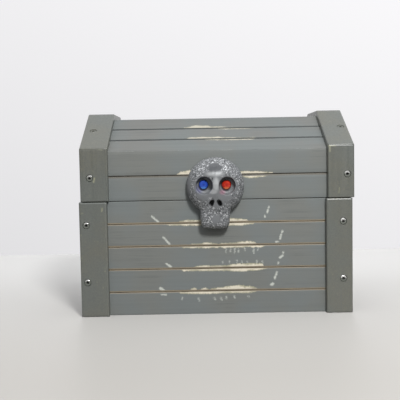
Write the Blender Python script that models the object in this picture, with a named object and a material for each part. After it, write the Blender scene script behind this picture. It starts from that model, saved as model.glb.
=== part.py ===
"""Slatted wooden treasure chest with a hip-roofed lid.

Painted slats run the full width of the box and are glued over the edges of two
solid end boards on the body and two on the lid. A strap of wood wraps each end
of the box and is screwed through the slats into the end boards. The lid turns
on two small butt hinges behind the back straps. A moulded skull with two
faceted stones for eyes is fixed to the lid's front and hangs over the seam,
where it is the pull.

Metres, +Z up, the front towards -Y. The origin is the middle of the underside.
"""

import math

import bmesh
import bpy
from mathutils import Matrix, Vector

# The case, measured over the straps.
WIDTH = 0.3000
DEPTH = 0.2084
BODY_HEIGHT = 0.1270
SEAM_GAP = 0.0007
LID_WALL_HEIGHT = 0.0585
SLOPE_RUN = 0.0716
SLOPE_RISE = 0.0411
LID_SIDE_SHIFT = 0.0020  # the lid sits this far to the right of the body

# Boards. Touching pieces stand FIT_GAP apart, the thickness of the glue line.
FIT_GAP = 0.0003
END_BOARD = 0.0180
END_BOARD_EASE = 0.0008
FLOOR_BOARD = 0.0060
SLAT_THICKNESS = 0.0080
SLAT_EASE = 0.0006
STRAP_WIDTH = 0.0288
LEFT_STRAP_EXTRA = 0.0018  # the left straps are cut this much wider
STRAP_THICKNESS = 0.0065
STRAP_EASE = 0.0008

# How many slats cover each face.
BODY_WALL_SLATS = 5
LID_WALL_SLATS = 2
SLOPE_SLATS = 3
TOP_SLATS = 3

# The countersunk screws that hold the straps.
SCREW_HEAD_RADIUS = 0.0034
SCREW_SHANK_RADIUS = 0.0017
SCREW_HEAD_HEIGHT = 0.0022
SCREW_HEAD_RIM = 0.0004
SCREW_LENGTH = 0.0250
SCREW_POINT = 0.0030
SCREW_RECESS = 0.0003
CROSS_REACH = 0.0017
CROSS_SLOT = 0.0008
CROSS_DEPTH = 0.0013
RING_GROOVE = 0.0010
ROUND_SIDES = 12

# Where each screw enters, from the outer edge of its strap and along the strap.
BODY_SCREW_INSET_LEFT = 0.0075
BODY_SCREW_INSET_RIGHT = 0.0103
LID_SCREW_INSET_LEFT = 0.0106
LID_SCREW_INSET_RIGHT = 0.0076
BODY_SCREW_DROP = 0.0253
BODY_SCREW_RISE = 0.0384
LID_SCREW_RISE = 0.0258

# The butt hinges behind the back straps.
HINGE_LENGTH = 0.0250
HINGE_LEAF_HEIGHT = 0.0140
HINGE_LEAF_THICKNESS = 0.0011
HINGE_PIN_RADIUS = 0.0010
HINGE_PIN_CLEARANCE = 0.0001
HINGE_PIN_OVERHANG = 0.0006
HINGE_KNUCKLE_WALL = 0.0010
HINGE_KNUCKLES = 5
HINGE_SCREW_SPACING = 0.0150
HINGE_SCREW_RISE = 0.0086
HINGE_SCREW_HEAD_RADIUS = 0.0019
HINGE_SCREW_DOME = 0.0005
HINGE_SCREW_SHOULDER_SHARE = 0.8
HINGE_SCREW_SHANK_RADIUS = 0.0009
HINGE_SCREW_LENGTH = 0.0100
BARREL_SIDES = 20

# The skull, whose cranium is a shallow dome and whose jaw is a rounded block.
SKULL_SIDE_SHIFT = -0.0020  # from the lid's middle
SKULL_RISE = 0.0153  # from the lid's lower edge to the middle of the cranium
SKULL_TILT_DEGREES = 1.3
CRANIUM_HALF_WIDTH = 0.0318
CRANIUM_HALF_HEIGHT = 0.0314
CRANIUM_DEPTH = 0.0165
JAW_HALF_WIDTH = 0.0164
JAW_DROP = 0.0472
JAW_HALF_HEIGHT = 0.0260
JAW_DEPTH = 0.0125
SKULL_RIM = 0.0030
CRANIUM_ROUNDNESS = 0.42  # 0.5 is an ellipsoid, less is flatter in front
JAW_ROUNDNESS = 0.30
JAW_SQUARENESS = 6
SKULL_BLEND = 5
SKULL_RINGS = 12
SKULL_SPOKES = 48

# Raised and sunken features of the face, each a soft mound.
BROW_RISE = 0.0150
BROW_HALF_LENGTH = 0.0170
BROW_HALF_HEIGHT = 0.0042
BROW_HEIGHT = 0.0020
BRIDGE_TOP_RISE = 0.0040
BRIDGE_HALF_LENGTH = 0.0120
BRIDGE_HALF_WIDTH = 0.0046
BRIDGE_HEIGHT = 0.0024
FOREHEAD_RISE = 0.0235
FOREHEAD_RADIUS = 0.0065
FOREHEAD_DISH = 0.0012
CHEEK_OUT = 0.0200
CHEEK_DROP = 0.0125
CHEEK_RADIUS = 0.0065
CHEEK_HEIGHT = 0.0014

# Eye sockets, nostrils and stones.
SOCKET_SPREAD = 0.0124
SOCKET_RISE = 0.0005
SOCKET_HALF_WIDTH = 0.0092
SOCKET_HALF_HEIGHT = 0.0098
SOCKET_FLOOR_STAND = 0.0092
SOCKET_SIDES = 24
NOSTRIL_SPREAD = 0.0044
NOSTRIL_DROP = 0.0183
NOSTRIL_HALF_WIDTH = 0.0026
NOSTRIL_HALF_HEIGHT = 0.0046
NOSTRIL_DEPTH = 0.0060
NOSTRIL_TILT_DEGREES = 30.0
STONE_RADIUS = 0.0055
STONE_GIRDLE = 0.0006
STONE_HEIGHT = 0.0034
STONE_SHIFT_X = -0.0006
STONE_SHIFT_Z = 0.0008
STONE_SIDES = 12
STONE_TABLE_SHARE = 0.55
STONE_CROWN_SHARE = 0.82

# One overrun serves every cutter that leaves a surface.
OVERRUN = 0.0050

# Places that follow from the sizes above.
HALF_WIDTH = WIDTH / 2
FRONT = -DEPTH / 2
LID_BOTTOM = BODY_HEIGHT + SEAM_GAP
CREASE_HEIGHT = LID_BOTTOM + LID_WALL_HEIGHT
RIDGE_HEIGHT = CREASE_HEIGHT + SLOPE_RISE
SLOPE_ANGLE = math.atan2(SLOPE_RISE, SLOPE_RUN)
SLAT_INSET = STRAP_THICKNESS + FIT_GAP
BOARD_INSET = SLAT_INSET + SLAT_THICKNESS + FIT_GAP
BARREL_RADIUS = HINGE_PIN_RADIUS + HINGE_PIN_CLEARANCE + HINGE_KNUCKLE_WALL
AXIS_Y = -FRONT + FIT_GAP + BARREL_RADIUS
AXIS_Z = BODY_HEIGHT + SEAM_GAP / 2
BODY_X = -LID_SIDE_SHIFT / 2
LID_X = LID_SIDE_SHIFT / 2
SIDES = ("left", "right")


def side_sign(side):
    """The direction of this side along X."""
    return -1 if side == "left" else 1


def clear_scene():
    for old in list(bpy.data.objects):
        bpy.data.objects.remove(old)


def material(name, colour, roughness, metallic=0.0):
    made = bpy.data.materials.new(name)
    made.use_nodes = True
    shader = made.node_tree.nodes["Principled BSDF"]
    shader.inputs["Base Color"].default_value = (*colour, 1.0)
    shader.inputs["Roughness"].default_value = roughness
    shader.inputs["Metallic"].default_value = metallic
    made.diffuse_color = (*colour, 1.0)
    return made


def add_object(name, shape, finish=None, smooth=False):
    """Turns a bmesh into an object; without a finish it is a hidden cutter."""
    bmesh.ops.recalc_face_normals(shape, faces=shape.faces)
    mesh = bpy.data.meshes.new(name)
    shape.to_mesh(mesh)
    shape.free()
    if smooth:
        mesh.shade_smooth()
        mesh.set_sharp_from_angle(angle=math.radians(35))
    made = bpy.data.objects.new(name, mesh)
    bpy.context.collection.objects.link(made)
    if finish:
        mesh.materials.append(finish)
    else:
        made.hide_render = True
        made.display_type = "WIRE"
    return made


def boolean(target, operation, other):
    step = target.modifiers.new(operation.lower() + "_" + other.name, "BOOLEAN")
    step.operation = operation
    step.solver = "EXACT"
    step.object = other


def finished_mesh(source):
    """The mesh that a hidden object has after its modifiers."""
    graph = bpy.context.evaluated_depsgraph_get()
    return bpy.data.meshes.new_from_object(source.evaluated_get(graph))


def add_prism(shape, outline, low, high):
    """Extrudes an outline of (Y, Z) points along X, from low to high."""
    corners = [shape.verts.new((low, y, z)) for y, z in outline]
    end = shape.faces.new(corners)
    grown = bmesh.ops.extrude_face_region(shape, geom=[end])["geom"]
    moved = [item for item in grown if isinstance(item, bmesh.types.BMVert)]
    bmesh.ops.translate(shape, verts=moved, vec=(high - low, 0, 0))


def prism(outline, low, high):
    shape = bmesh.new()
    add_prism(shape, outline, low, high)
    return shape


def add_lathe(shape, profile, sides, place=None):
    """Turns a profile of (radius, height) points about Z, then moves it to its place."""
    before = set(shape.verts)
    points = [shape.verts.new((radius, 0, height)) for radius, height in profile]
    edges = [shape.edges.new(pair) for pair in zip(points, points[1:])]
    if profile[0][0] and profile[-1][0]:
        edges.append(shape.edges.new((points[-1], points[0])))
    bmesh.ops.spin(
        shape, geom=points + edges, cent=(0, 0, 0), axis=(0, 0, 1),
        angle=math.tau, steps=sides, use_merge=True, use_duplicate=False,
    )
    turned = [vert for vert in shape.verts if vert not in before]
    bmesh.ops.remove_doubles(shape, verts=turned, dist=FIT_GAP / 100)
    turned = [vert for vert in shape.verts if vert not in before]
    if place:
        bmesh.ops.transform(shape, matrix=place, verts=turned)


def eased(outline, size):
    """Cuts each corner of an outline whose matching size isn't zero."""
    result = []
    for index, corner in enumerate(outline):
        here = Vector(corner)
        if not size[index]:
            result.append(tuple(here))
            continue
        for other in (outline[index - 1], outline[(index + 1) % len(outline)]):
            result.append(tuple(here + (Vector(other) - here).normalized() * size[index]))
    return result


def lid_outline(inset):
    """The lid's section, inset from the straps' outer face: front, over the top, to the back."""
    rise = inset * (1 - math.sin(SLOPE_ANGLE)) / math.cos(SLOPE_ANGLE)
    run = inset * (1 - math.cos(SLOPE_ANGLE)) / math.sin(SLOPE_ANGLE)
    front = [
        Vector((FRONT + inset, LID_BOTTOM)),
        Vector((FRONT + inset, CREASE_HEIGHT - rise)),
        Vector((FRONT + SLOPE_RUN + run, RIDGE_HEIGHT - inset)),
    ]
    return front + [Vector((-point.x, point.y)) for point in reversed(front)]


# The five faces of the lid, in the order of lid_outline's sides.
LID_FACES = ("front", "front_slope", "top", "back_slope", "back")


def joint_trim(corner):
    """How far a piece stops short of this corner of the lid, so that mitres stand FIT_GAP apart."""
    if corner in (0, 5):
        return 0
    turn = math.pi / 2 - SLOPE_ANGLE if corner in (1, 4) else SLOPE_ANGLE
    return FIT_GAP / 2 / math.cos(turn / 2)


def lid_piece(face, inset, thickness, ease, number=0, count=1):
    """The outline of slat or strap `number` of `count` across one face of the lid."""
    start = LID_FACES.index(face)
    outer_low, outer_high = lid_outline(inset)[start:start + 2]
    inner_low, inner_high = lid_outline(inset + thickness)[start:start + 2]
    along = (outer_high - outer_low).normalized()
    inward = Vector((along.y, -along.x)) * thickness
    outer = [outer_low.lerp(outer_high, (number + step) / count) for step in (0, 1)]
    inner = [point + inward for point in outer]
    trims = [FIT_GAP / 2, FIT_GAP / 2]
    if number == 0:
        inner[0] = inner_low
        trims[0] = joint_trim(start)
    if number == count - 1:
        inner[1] = inner_high
        trims[1] = joint_trim(start + 1)
    outline = [
        outer[0] + along * trims[0],
        outer[1] - along * trims[1],
        inner[1] - along * trims[1],
        inner[0] + along * trims[0],
    ]
    return eased(outline, (ease, ease, 0, 0))


def wall_piece(side, low, high, inset, thickness, ease):
    """The outline of an upright piece of the body: side is -1 at the front and 1 at the back."""
    outer = side * (-FRONT - inset)
    inner = outer - side * thickness
    return eased([(outer, low), (outer, high), (inner, high), (inner, low)], (ease, ease, 0, 0))


def strap_span(middle, sign):
    edge = middle + sign * HALF_WIDTH
    width = STRAP_WIDTH + (LEFT_STRAP_EXTRA if sign < 0 else 0)
    return sorted((edge, edge - sign * width))


def outward_place(x, y, z, outward):
    """A place whose local Z points along outward, a direction in (Y, Z)."""
    normal = Vector((0, *outward)).normalized()
    across = Vector((1, 0, 0))
    turn = Matrix((across, normal.cross(across), normal)).transposed().to_4x4()
    return Matrix.Translation((x, y, z)) @ turn


def strap_screw_places():
    """Each strap screw's place on the strap's outer face, under the strap's own name."""
    places = {}
    for side in SIDES:
        sign = side_sign(side)
        inset = BODY_SCREW_INSET_LEFT if sign < 0 else BODY_SCREW_INSET_RIGHT
        x = BODY_X + sign * (HALF_WIDTH - inset)
        heights = (BODY_HEIGHT - BODY_SCREW_DROP, BODY_SCREW_RISE)
        places["body_strap_front_" + side] = [
            outward_place(x, FRONT, z, (-1, 0)) for z in heights
        ]
        places["body_strap_back_" + side] = [
            outward_place(x, -FRONT, z, (1, 0)) for z in heights
        ]
        inset = LID_SCREW_INSET_LEFT if sign < 0 else LID_SCREW_INSET_RIGHT
        x = LID_X + sign * (HALF_WIDTH - inset)
        for start, face in enumerate(LID_FACES):
            low, high = lid_outline(0)[start:start + 2]
            along = (high - low).normalized()
            spot = low.lerp(high, 0.5)
            if face == "front":
                spot = low + along * LID_SCREW_RISE
            if face == "back":
                spot = high - along * LID_SCREW_RISE
            outward = (-along.y, along.x)
            places["lid_strap_" + face + "_" + side] = [
                outward_place(x, spot.x, spot.y, outward)
            ]
    return places


def screw_profile(clearance):
    """A countersunk screw from its head's flat down to its point, or the bore that clears it."""
    top = OVERRUN if clearance else -SCREW_RECESS
    rim = -SCREW_RECESS - SCREW_HEAD_RIM - clearance
    neck = -SCREW_RECESS - SCREW_HEAD_HEIGHT - clearance
    tip = -SCREW_LENGTH - clearance
    return [
        (0, top),
        (SCREW_HEAD_RADIUS + clearance, top),
        (SCREW_HEAD_RADIUS + clearance, rim),
        (SCREW_SHANK_RADIUS + clearance, neck),
        (SCREW_SHANK_RADIUS + clearance, tip + SCREW_POINT),
        (0, tip),
    ]


def add_cross(shape, place, top):
    """A plus-shaped plug that cuts the recess for the driver."""
    half = CROSS_SLOT / 2
    reach = CROSS_REACH
    quarter = [(reach, -half), (reach, half), (half, half)]
    outline = []
    for turn in range(4):
        for x, y in quarter:
            for _ in range(turn):
                x, y = -y, x
            outline.append((x, y))
    corners = [shape.verts.new((x, y, top)) for x, y in outline]
    lid = shape.faces.new(corners)
    grown = bmesh.ops.extrude_face_region(shape, geom=[lid])["geom"]
    moved = [item for item in grown if isinstance(item, bmesh.types.BMVert)]
    floor = -SCREW_RECESS - CROSS_DEPTH
    bmesh.ops.translate(shape, verts=moved, vec=(0, 0, floor - top))
    bmesh.ops.transform(shape, matrix=place, verts=corners + moved)


def bore_cutter(name, places):
    shape = bmesh.new()
    for place in places:
        add_lathe(shape, screw_profile(FIT_GAP), ROUND_SIDES, place)
    return add_object("cut_bore_" + name, shape)


def hinge_bores(name, sign_z):
    """Cutter for the holes that both hinges' screws take on the body (-1) or the lid (1)."""
    radius = HINGE_SCREW_SHANK_RADIUS + FIT_GAP
    shape = bmesh.new()
    for place in hinge_screw_places(sign_z):
        add_lathe(
            shape,
            [(0, OVERRUN), (radius, OVERRUN), (radius, -HINGE_SCREW_LENGTH - FIT_GAP),
             (0, -HINGE_SCREW_LENGTH - FIT_GAP)],
            ROUND_SIDES, place,
        )
    return add_object("cut_hinge_bores_" + name, shape)


def hinge_middle(sign):
    return sign * (HALF_WIDTH - STRAP_WIDTH / 2)


def hinge_screw_places(sign_z, sides=(-1, 1)):
    """The hinge screws' places on the leaves' outer face."""
    y = -FRONT + FIT_GAP + HINGE_LEAF_THICKNESS
    z = AXIS_Z + sign_z * HINGE_SCREW_RISE
    return [
        outward_place(hinge_middle(side) + step * HINGE_SCREW_SPACING / 2, y, z, (1, 0))
        for side in sides
        for step in (-1, 1)
    ]


def build_strap_screw_mesh(finish):
    """One countersunk screw with its cross recess, shared by the screws at the front."""
    shape = bmesh.new()
    add_lathe(shape, screw_profile(0), ROUND_SIDES)
    pattern = add_object("pattern_strap_screw", shape)
    pattern.data.materials.append(finish)
    shape = bmesh.new()
    add_cross(shape, Matrix.Identity(4), OVERRUN)
    boolean(pattern, "DIFFERENCE", add_object("cut_cross", shape))
    return finished_mesh(pattern)


def fuse_screws(strap, places):
    """Gives a hidden strap its screws: ringed, crossed heads outside and shanks inside."""
    cuts = bmesh.new()
    shanks = bmesh.new()
    inner = SCREW_HEAD_RADIUS
    outer = SCREW_HEAD_RADIUS + FIT_GAP
    start = -STRAP_THICKNESS / 2
    tip = -SCREW_LENGTH
    for place in places:
        ring = [(inner, OVERRUN), (outer, OVERRUN), (outer, -RING_GROOVE), (inner, -RING_GROOVE)]
        add_lathe(cuts, ring, ROUND_SIDES, place)
        add_cross(cuts, place, OVERRUN)
        shank = [(0, start), (SCREW_SHANK_RADIUS, start),
                 (SCREW_SHANK_RADIUS, tip + SCREW_POINT), (0, tip)]
        add_lathe(shanks, shank, ROUND_SIDES, place)
    boolean(strap, "DIFFERENCE", add_object("cut_heads_" + strap.name, cuts))
    boolean(strap, "UNION", add_object("add_shanks_" + strap.name, shanks))


def build_slats(finish, places):
    """All the slats, each bored where a strap screw or a hinge screw passes."""
    made = []
    bores = {
        "body_front": bore_cutter("body_front", wall_places(places, "body_strap_front_")),
        "body_back": bore_cutter("body_back", wall_places(places, "body_strap_back_")),
    }
    hinge_holes = {"body_back": hinge_bores("body", -1), "lid_back": hinge_bores("lid", 1)}
    pitch = BODY_HEIGHT / BODY_WALL_SLATS
    for wall, side in (("body_front", -1), ("body_back", 1)):
        for number in range(BODY_WALL_SLATS):
            low = number * pitch + (FIT_GAP / 2 if number else 0)
            high = (number + 1) * pitch
            if number < BODY_WALL_SLATS - 1:
                high -= FIT_GAP / 2
            outline = wall_piece(side, low, high, SLAT_INSET, SLAT_THICKNESS, SLAT_EASE)
            shape = prism(outline, BODY_X - HALF_WIDTH, BODY_X + HALF_WIDTH)
            slat = add_object(f"{wall}_slat_{number + 1}", shape, finish)
            boolean(slat, "DIFFERENCE", bores[wall])
            if wall in hinge_holes and number == BODY_WALL_SLATS - 1:
                boolean(slat, "DIFFERENCE", hinge_holes[wall])
            made.append(slat)
    counts = {"front": LID_WALL_SLATS, "front_slope": SLOPE_SLATS, "top": TOP_SLATS,
              "back_slope": SLOPE_SLATS, "back": LID_WALL_SLATS}
    for face, count in counts.items():
        bore = bore_cutter("lid_" + face, wall_places(places, f"lid_strap_{face}_"))
        for number in range(count):
            outline = lid_piece(face, SLAT_INSET, SLAT_THICKNESS, SLAT_EASE, number, count)
            shape = prism(outline, LID_X - HALF_WIDTH, LID_X + HALF_WIDTH)
            slat = add_object(f"lid_{face}_slat_{number + 1}", shape, finish)
            boolean(slat, "DIFFERENCE", bore)
            if face == "back" and number == count - 1:
                boolean(slat, "DIFFERENCE", hinge_holes["lid_back"])
            made.append(slat)
    return made


def wall_places(places, start):
    """The places of both sides' screws whose strap's name starts so."""
    return [place for side in SIDES for place in places[start + side]]


def build_straps(finish, places):
    """The straps that wrap each end: one upright piece per body wall and five mitred ones on the lid."""
    made = []
    hinge_holes = {"body": hinge_bores("body_straps", -1), "lid": hinge_bores("lid_straps", 1)}
    for side in SIDES:
        sign = side_sign(side)
        for wall, facing in (("front", -1), ("back", 1)):
            outline = wall_piece(facing, 0, BODY_HEIGHT, 0, STRAP_THICKNESS, STRAP_EASE)
            name = f"body_strap_{wall}_{side}"
            made.append(add_object(name, prism(outline, *strap_span(BODY_X, sign)), finish))
        for face in LID_FACES:
            outline = lid_piece(face, 0, STRAP_THICKNESS, STRAP_EASE)
            name = f"lid_strap_{face}_{side}"
            made.append(add_object(name, prism(outline, *strap_span(LID_X, sign)), finish))
    for strap in made:
        if "_front_" in strap.name:
            boolean(strap, "DIFFERENCE", bore_cutter(strap.name, places[strap.name]))
        else:
            fuse_screws(strap, places[strap.name])
        if "_strap_back_" in strap.name and "slope" not in strap.name:
            boolean(strap, "DIFFERENCE", hinge_holes[strap.name.split("_")[0]])
    return made


def build_front_screws(finish, places):
    """The screws that show: two in each front strap of the body, one in each of the lid's."""
    mesh = build_strap_screw_mesh(finish)
    made = []
    for strap, spots in places.items():
        if "_front_" not in strap:
            continue
        for number, place in enumerate(spots):
            name = strap.replace("strap", "screw")
            if len(spots) > 1:
                name += ("_upper", "_lower")[number]
            screw = bpy.data.objects.new(name, mesh)
            screw.matrix_world = place
            bpy.context.collection.objects.link(screw)
            made.append(screw)
    return made


def build_end_boards(finish, places):
    """Four boards under the slats' ends: two oblong ones in the body, two gabled ones in the lid."""
    made = []
    y = -FRONT - BOARD_INSET
    body_outline = [(-y, 0), (-y, BODY_HEIGHT), (y, BODY_HEIGHT), (y, 0)]
    lid_shape = [tuple(point) for point in lid_outline(BOARD_INSET)]
    for part, middle, outline in (("body", BODY_X, body_outline), ("lid", LID_X, lid_shape)):
        for side in SIDES:
            edge = middle + side_sign(side) * HALF_WIDTH
            low, high = sorted((edge, edge - side_sign(side) * END_BOARD))
            board = add_object(f"{part}_end_{side}", prism(outline, low, high), finish)
            ease = board.modifiers.new("eased_edges", "BEVEL")
            ease.width = END_BOARD_EASE
            ease.segments = 1
            spots = [
                place for strap, found in places.items()
                if strap.startswith(part) and strap.endswith(side) for place in found
            ]
            boolean(board, "DIFFERENCE", bore_cutter(board.name, spots))
            made.append(board)
    return made


def build_floor(finish):
    """The thin bottom, between the end boards and the slats."""
    x = HALF_WIDTH - END_BOARD - FIT_GAP
    y = -FRONT - BOARD_INSET
    outline = [(-y, 0), (-y, FLOOR_BOARD), (y, FLOOR_BOARD), (y, 0)]
    return [add_object("floor_board", prism(outline, BODY_X - x, BODY_X + x), finish)]


def leaf_outline(sign_z):
    """The P-shaped section of a leaf: a flat plate rolled round the pin."""
    tangent = math.acos((BARREL_RADIUS - HINGE_LEAF_THICKNESS) / BARREL_RADIUS)
    sweep = math.tau - tangent
    steps = BARREL_SIDES
    points = [(-BARREL_RADIUS, HINGE_LEAF_HEIGHT),
              (HINGE_LEAF_THICKNESS - BARREL_RADIUS, HINGE_LEAF_HEIGHT)]
    for step in range(steps + 1):
        angle = math.pi - tangent - sweep * step / steps
        points.append((BARREL_RADIUS * math.cos(angle), BARREL_RADIUS * math.sin(angle)))
    return [(AXIS_Y + y, AXIS_Z + sign_z * z) for y, z in points]


def build_hinge(side, sign, finish, pin_finish):
    """A butt hinge: knuckles of both leaves share one pin by turns."""
    middle = hinge_middle(sign)
    start = middle - HINGE_LENGTH / 2
    pitch = (HINGE_LENGTH + FIT_GAP) / HINGE_KNUCKLES
    bore = BARREL_RADIUS - HINGE_KNUCKLE_WALL
    along_x = Matrix.Translation((middle, AXIS_Y, AXIS_Z)) @ Matrix.Rotation(math.pi / 2, 4, "Y")
    shape = bmesh.new()
    half = HINGE_LENGTH / 2 + OVERRUN
    add_lathe(shape, [(0, -half), (bore, -half), (bore, half), (0, half)], BARREL_SIDES, along_x)
    bore_cut = add_object(f"cut_hinge_{side}_bore", shape)
    leaves = []
    for part, sign_z, first in (("body", -1, 0), ("lid", 1, 1)):
        leaf = add_object(
            f"hinge_{side}_{part}_leaf",
            prism(leaf_outline(sign_z), start, start + HINGE_LENGTH), finish, smooth=True,
        )
        gaps = bmesh.new()
        reach = BARREL_RADIUS + FIT_GAP
        for number in range(1 - first, HINGE_KNUCKLES, 2):
            low = start + number * pitch - FIT_GAP
            high = low + pitch + FIT_GAP
            if number == 0:
                low -= OVERRUN
            if number == HINGE_KNUCKLES - 1:
                high += OVERRUN
            inner = AXIS_Y - BARREL_RADIUS - OVERRUN
            outer = AXIS_Y + BARREL_RADIUS + OVERRUN
            near = AXIS_Z + sign_z * reach
            far = AXIS_Z - sign_z * (reach + OVERRUN)
            add_prism(gaps, [(inner, near), (outer, near), (outer, far), (inner, far)], low, high)
        boolean(leaf, "DIFFERENCE", add_object(f"cut_hinge_{side}_{part}_gaps", gaps))
        boolean(leaf, "DIFFERENCE", bore_cut)
        screws = bmesh.new()
        dome = [
            (0, HINGE_SCREW_DOME),
            (HINGE_SCREW_HEAD_RADIUS / 2, HINGE_SCREW_DOME * HINGE_SCREW_SHOULDER_SHARE),
            (HINGE_SCREW_HEAD_RADIUS, 0),
            (HINGE_SCREW_HEAD_RADIUS, -HINGE_LEAF_THICKNESS / 3),
            (HINGE_SCREW_SHANK_RADIUS, -HINGE_LEAF_THICKNESS * 2 / 3),
            (HINGE_SCREW_SHANK_RADIUS, -HINGE_SCREW_LENGTH + HINGE_SCREW_SHANK_RADIUS),
            (0, -HINGE_SCREW_LENGTH),
        ]
        for place in hinge_screw_places(sign_z, (sign,)):
            add_lathe(screws, dome, ROUND_SIDES, place)
        boolean(leaf, "UNION", add_object(f"add_hinge_{side}_{part}_screws", screws))
        leaves.append(leaf)
    shape = bmesh.new()
    half = HINGE_LENGTH / 2 + HINGE_PIN_OVERHANG
    add_lathe(
        shape, [(0, -half), (HINGE_PIN_RADIUS, -half), (HINGE_PIN_RADIUS, half), (0, half)],
        BARREL_SIDES, along_x,
    )
    pin = add_object(f"hinge_{side}_pin", shape, pin_finish, smooth=True)
    return leaves[0], leaves[1], pin


def mound(x, z, middle, half_size, height):
    """A soft mound of the face at this place."""
    across = (x - middle[0]) / half_size[0]
    up = (z - middle[1]) / half_size[1]
    return height * math.exp(-across * across - up * up)


def cranium_share(x, z):
    """0 at the middle of the cranium, 1 at its edge."""
    return (x / CRANIUM_HALF_WIDTH) ** 2 + (z / CRANIUM_HALF_HEIGHT) ** 2


def jaw_share(x, z):
    """0 at the middle of the jaw's block, 1 at its edge, squarer than an ellipse."""
    middle = JAW_HALF_HEIGHT - JAW_DROP
    return (x / JAW_HALF_WIDTH) ** JAW_SQUARENESS + ((z - middle) / JAW_HALF_HEIGHT) ** JAW_SQUARENESS


def skull_edge(angle):
    """How far the skull's outline lies from its middle in this direction."""
    low = 0
    high = JAW_DROP + CRANIUM_HALF_WIDTH
    for _ in range(30):
        middle = (low + high) / 2
        x = middle * math.cos(angle)
        z = middle * math.sin(angle) + skull_pole()
        if min(cranium_share(x, z), jaw_share(x, z)) < 1:
            low = middle
        else:
            high = middle
    return low


def skull_pole():
    """The height of the point that the skull's spokes run from, halfway down the nose."""
    return -JAW_DROP / 3


def skull_stand(x, z):
    """How far the face stands out from the skull's rim at this place."""
    cranium = CRANIUM_DEPTH * max(0, 1 - cranium_share(x, z)) ** CRANIUM_ROUNDNESS
    jaw = JAW_DEPTH * max(0, 1 - jaw_share(x, z)) ** JAW_ROUNDNESS
    blended = (cranium ** SKULL_BLEND + jaw ** SKULL_BLEND) ** (1 / SKULL_BLEND)
    face = mound(x, z, (0, BROW_RISE), (BROW_HALF_LENGTH, BROW_HALF_HEIGHT), BROW_HEIGHT)
    face += mound(x, z, (0, BRIDGE_TOP_RISE), (BRIDGE_HALF_WIDTH, BRIDGE_HALF_LENGTH), BRIDGE_HEIGHT)
    face -= mound(x, z, (0, FOREHEAD_RISE), (FOREHEAD_RADIUS, FOREHEAD_RADIUS), FOREHEAD_DISH)
    for side in SIDES:
        middle = (side_sign(side) * CHEEK_OUT, -CHEEK_DROP)
        face += mound(x, z, middle, (CHEEK_RADIUS, CHEEK_RADIUS), CHEEK_HEIGHT)
    inside = min(1, blended / (CRANIUM_DEPTH / 2))
    return blended + face * inside


def skull_place():
    """Local X to the right, Y up and Z out of the face, with the skull's back on the slats."""
    y = FRONT + SLAT_INSET - FIT_GAP
    tilt = Matrix.Rotation(math.radians(-SKULL_TILT_DEGREES), 4, "Z")
    upright = Matrix.Rotation(math.pi / 2, 4, "X")
    return Matrix.Translation((LID_X + SKULL_SIDE_SHIFT, y, LID_BOTTOM + SKULL_RISE)) @ upright @ tilt


def build_skull(finish):
    """Rings of the face from its rim to the nose, then sockets and nostrils cut in."""
    shape = bmesh.new()
    angles = [math.tau * step / SKULL_SPOKES + math.pi / 2 for step in range(SKULL_SPOKES)]
    edges = [skull_edge(angle) for angle in angles]
    rings = []
    for number in range(-1, SKULL_RINGS):
        share = math.cos(math.pi / 2 * max(0, number) / SKULL_RINGS)
        ring = []
        for angle, edge in zip(angles, edges):
            x = share * edge * math.cos(angle)
            z = share * edge * math.sin(angle) + skull_pole()
            stand = SKULL_RIM + skull_stand(x, z) if number > 0 else SKULL_RIM * (number + 1)
            ring.append(shape.verts.new((x, z, stand)))
        rings.append(ring)
    for low, high in zip(rings, rings[1:]):
        for step in range(SKULL_SPOKES):
            after = (step + 1) % SKULL_SPOKES
            shape.faces.new((low[step], low[after], high[after], high[step]))
    shape.faces.new(list(reversed(rings[0])))
    pole = shape.verts.new((0, skull_pole(), SKULL_RIM + skull_stand(0, skull_pole())))
    for step in range(SKULL_SPOKES):
        shape.faces.new((rings[-1][step], rings[-1][(step + 1) % SKULL_SPOKES], pole))
    place = skull_place()
    bmesh.ops.transform(shape, matrix=place, verts=shape.verts)
    skull = add_object("skull", shape, finish, smooth=True)
    for side in SIDES:
        boolean(skull, "DIFFERENCE", socket_cutter(side, side_sign(side), place))
        boolean(skull, "DIFFERENCE", nostril_cutter(side, side_sign(side), place))
    return skull


def socket_cutter(side, sign, place):
    """A bowl with a flat floor that seats the stone."""
    floor = STONE_RADIUS + abs(STONE_SHIFT_X) + FIT_GAP
    depth = SKULL_RIM + CRANIUM_DEPTH - SOCKET_FLOOR_STAND
    profile = [(0, SOCKET_FLOOR_STAND), (floor, SOCKET_FLOOR_STAND)]
    for step in (1, 2, 3):
        angle = math.pi / 2 * step / 3
        profile.append((
            floor + (SOCKET_HALF_WIDTH - floor) * math.sin(angle),
            SOCKET_FLOOR_STAND + depth / 2 * (1 - math.cos(angle)),
        ))
    top = SOCKET_FLOOR_STAND + depth + OVERRUN
    profile += [(SOCKET_HALF_WIDTH, top), (0, top)]
    shape = bmesh.new()
    spot = Matrix.Translation((sign * SOCKET_SPREAD, SOCKET_RISE, 0))
    stretch = Matrix.Diagonal((1, SOCKET_HALF_HEIGHT / SOCKET_HALF_WIDTH, 1, 1))
    add_lathe(shape, profile, SOCKET_SIDES, place @ spot @ stretch)
    return add_object(f"cut_socket_{side}", shape)


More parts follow.
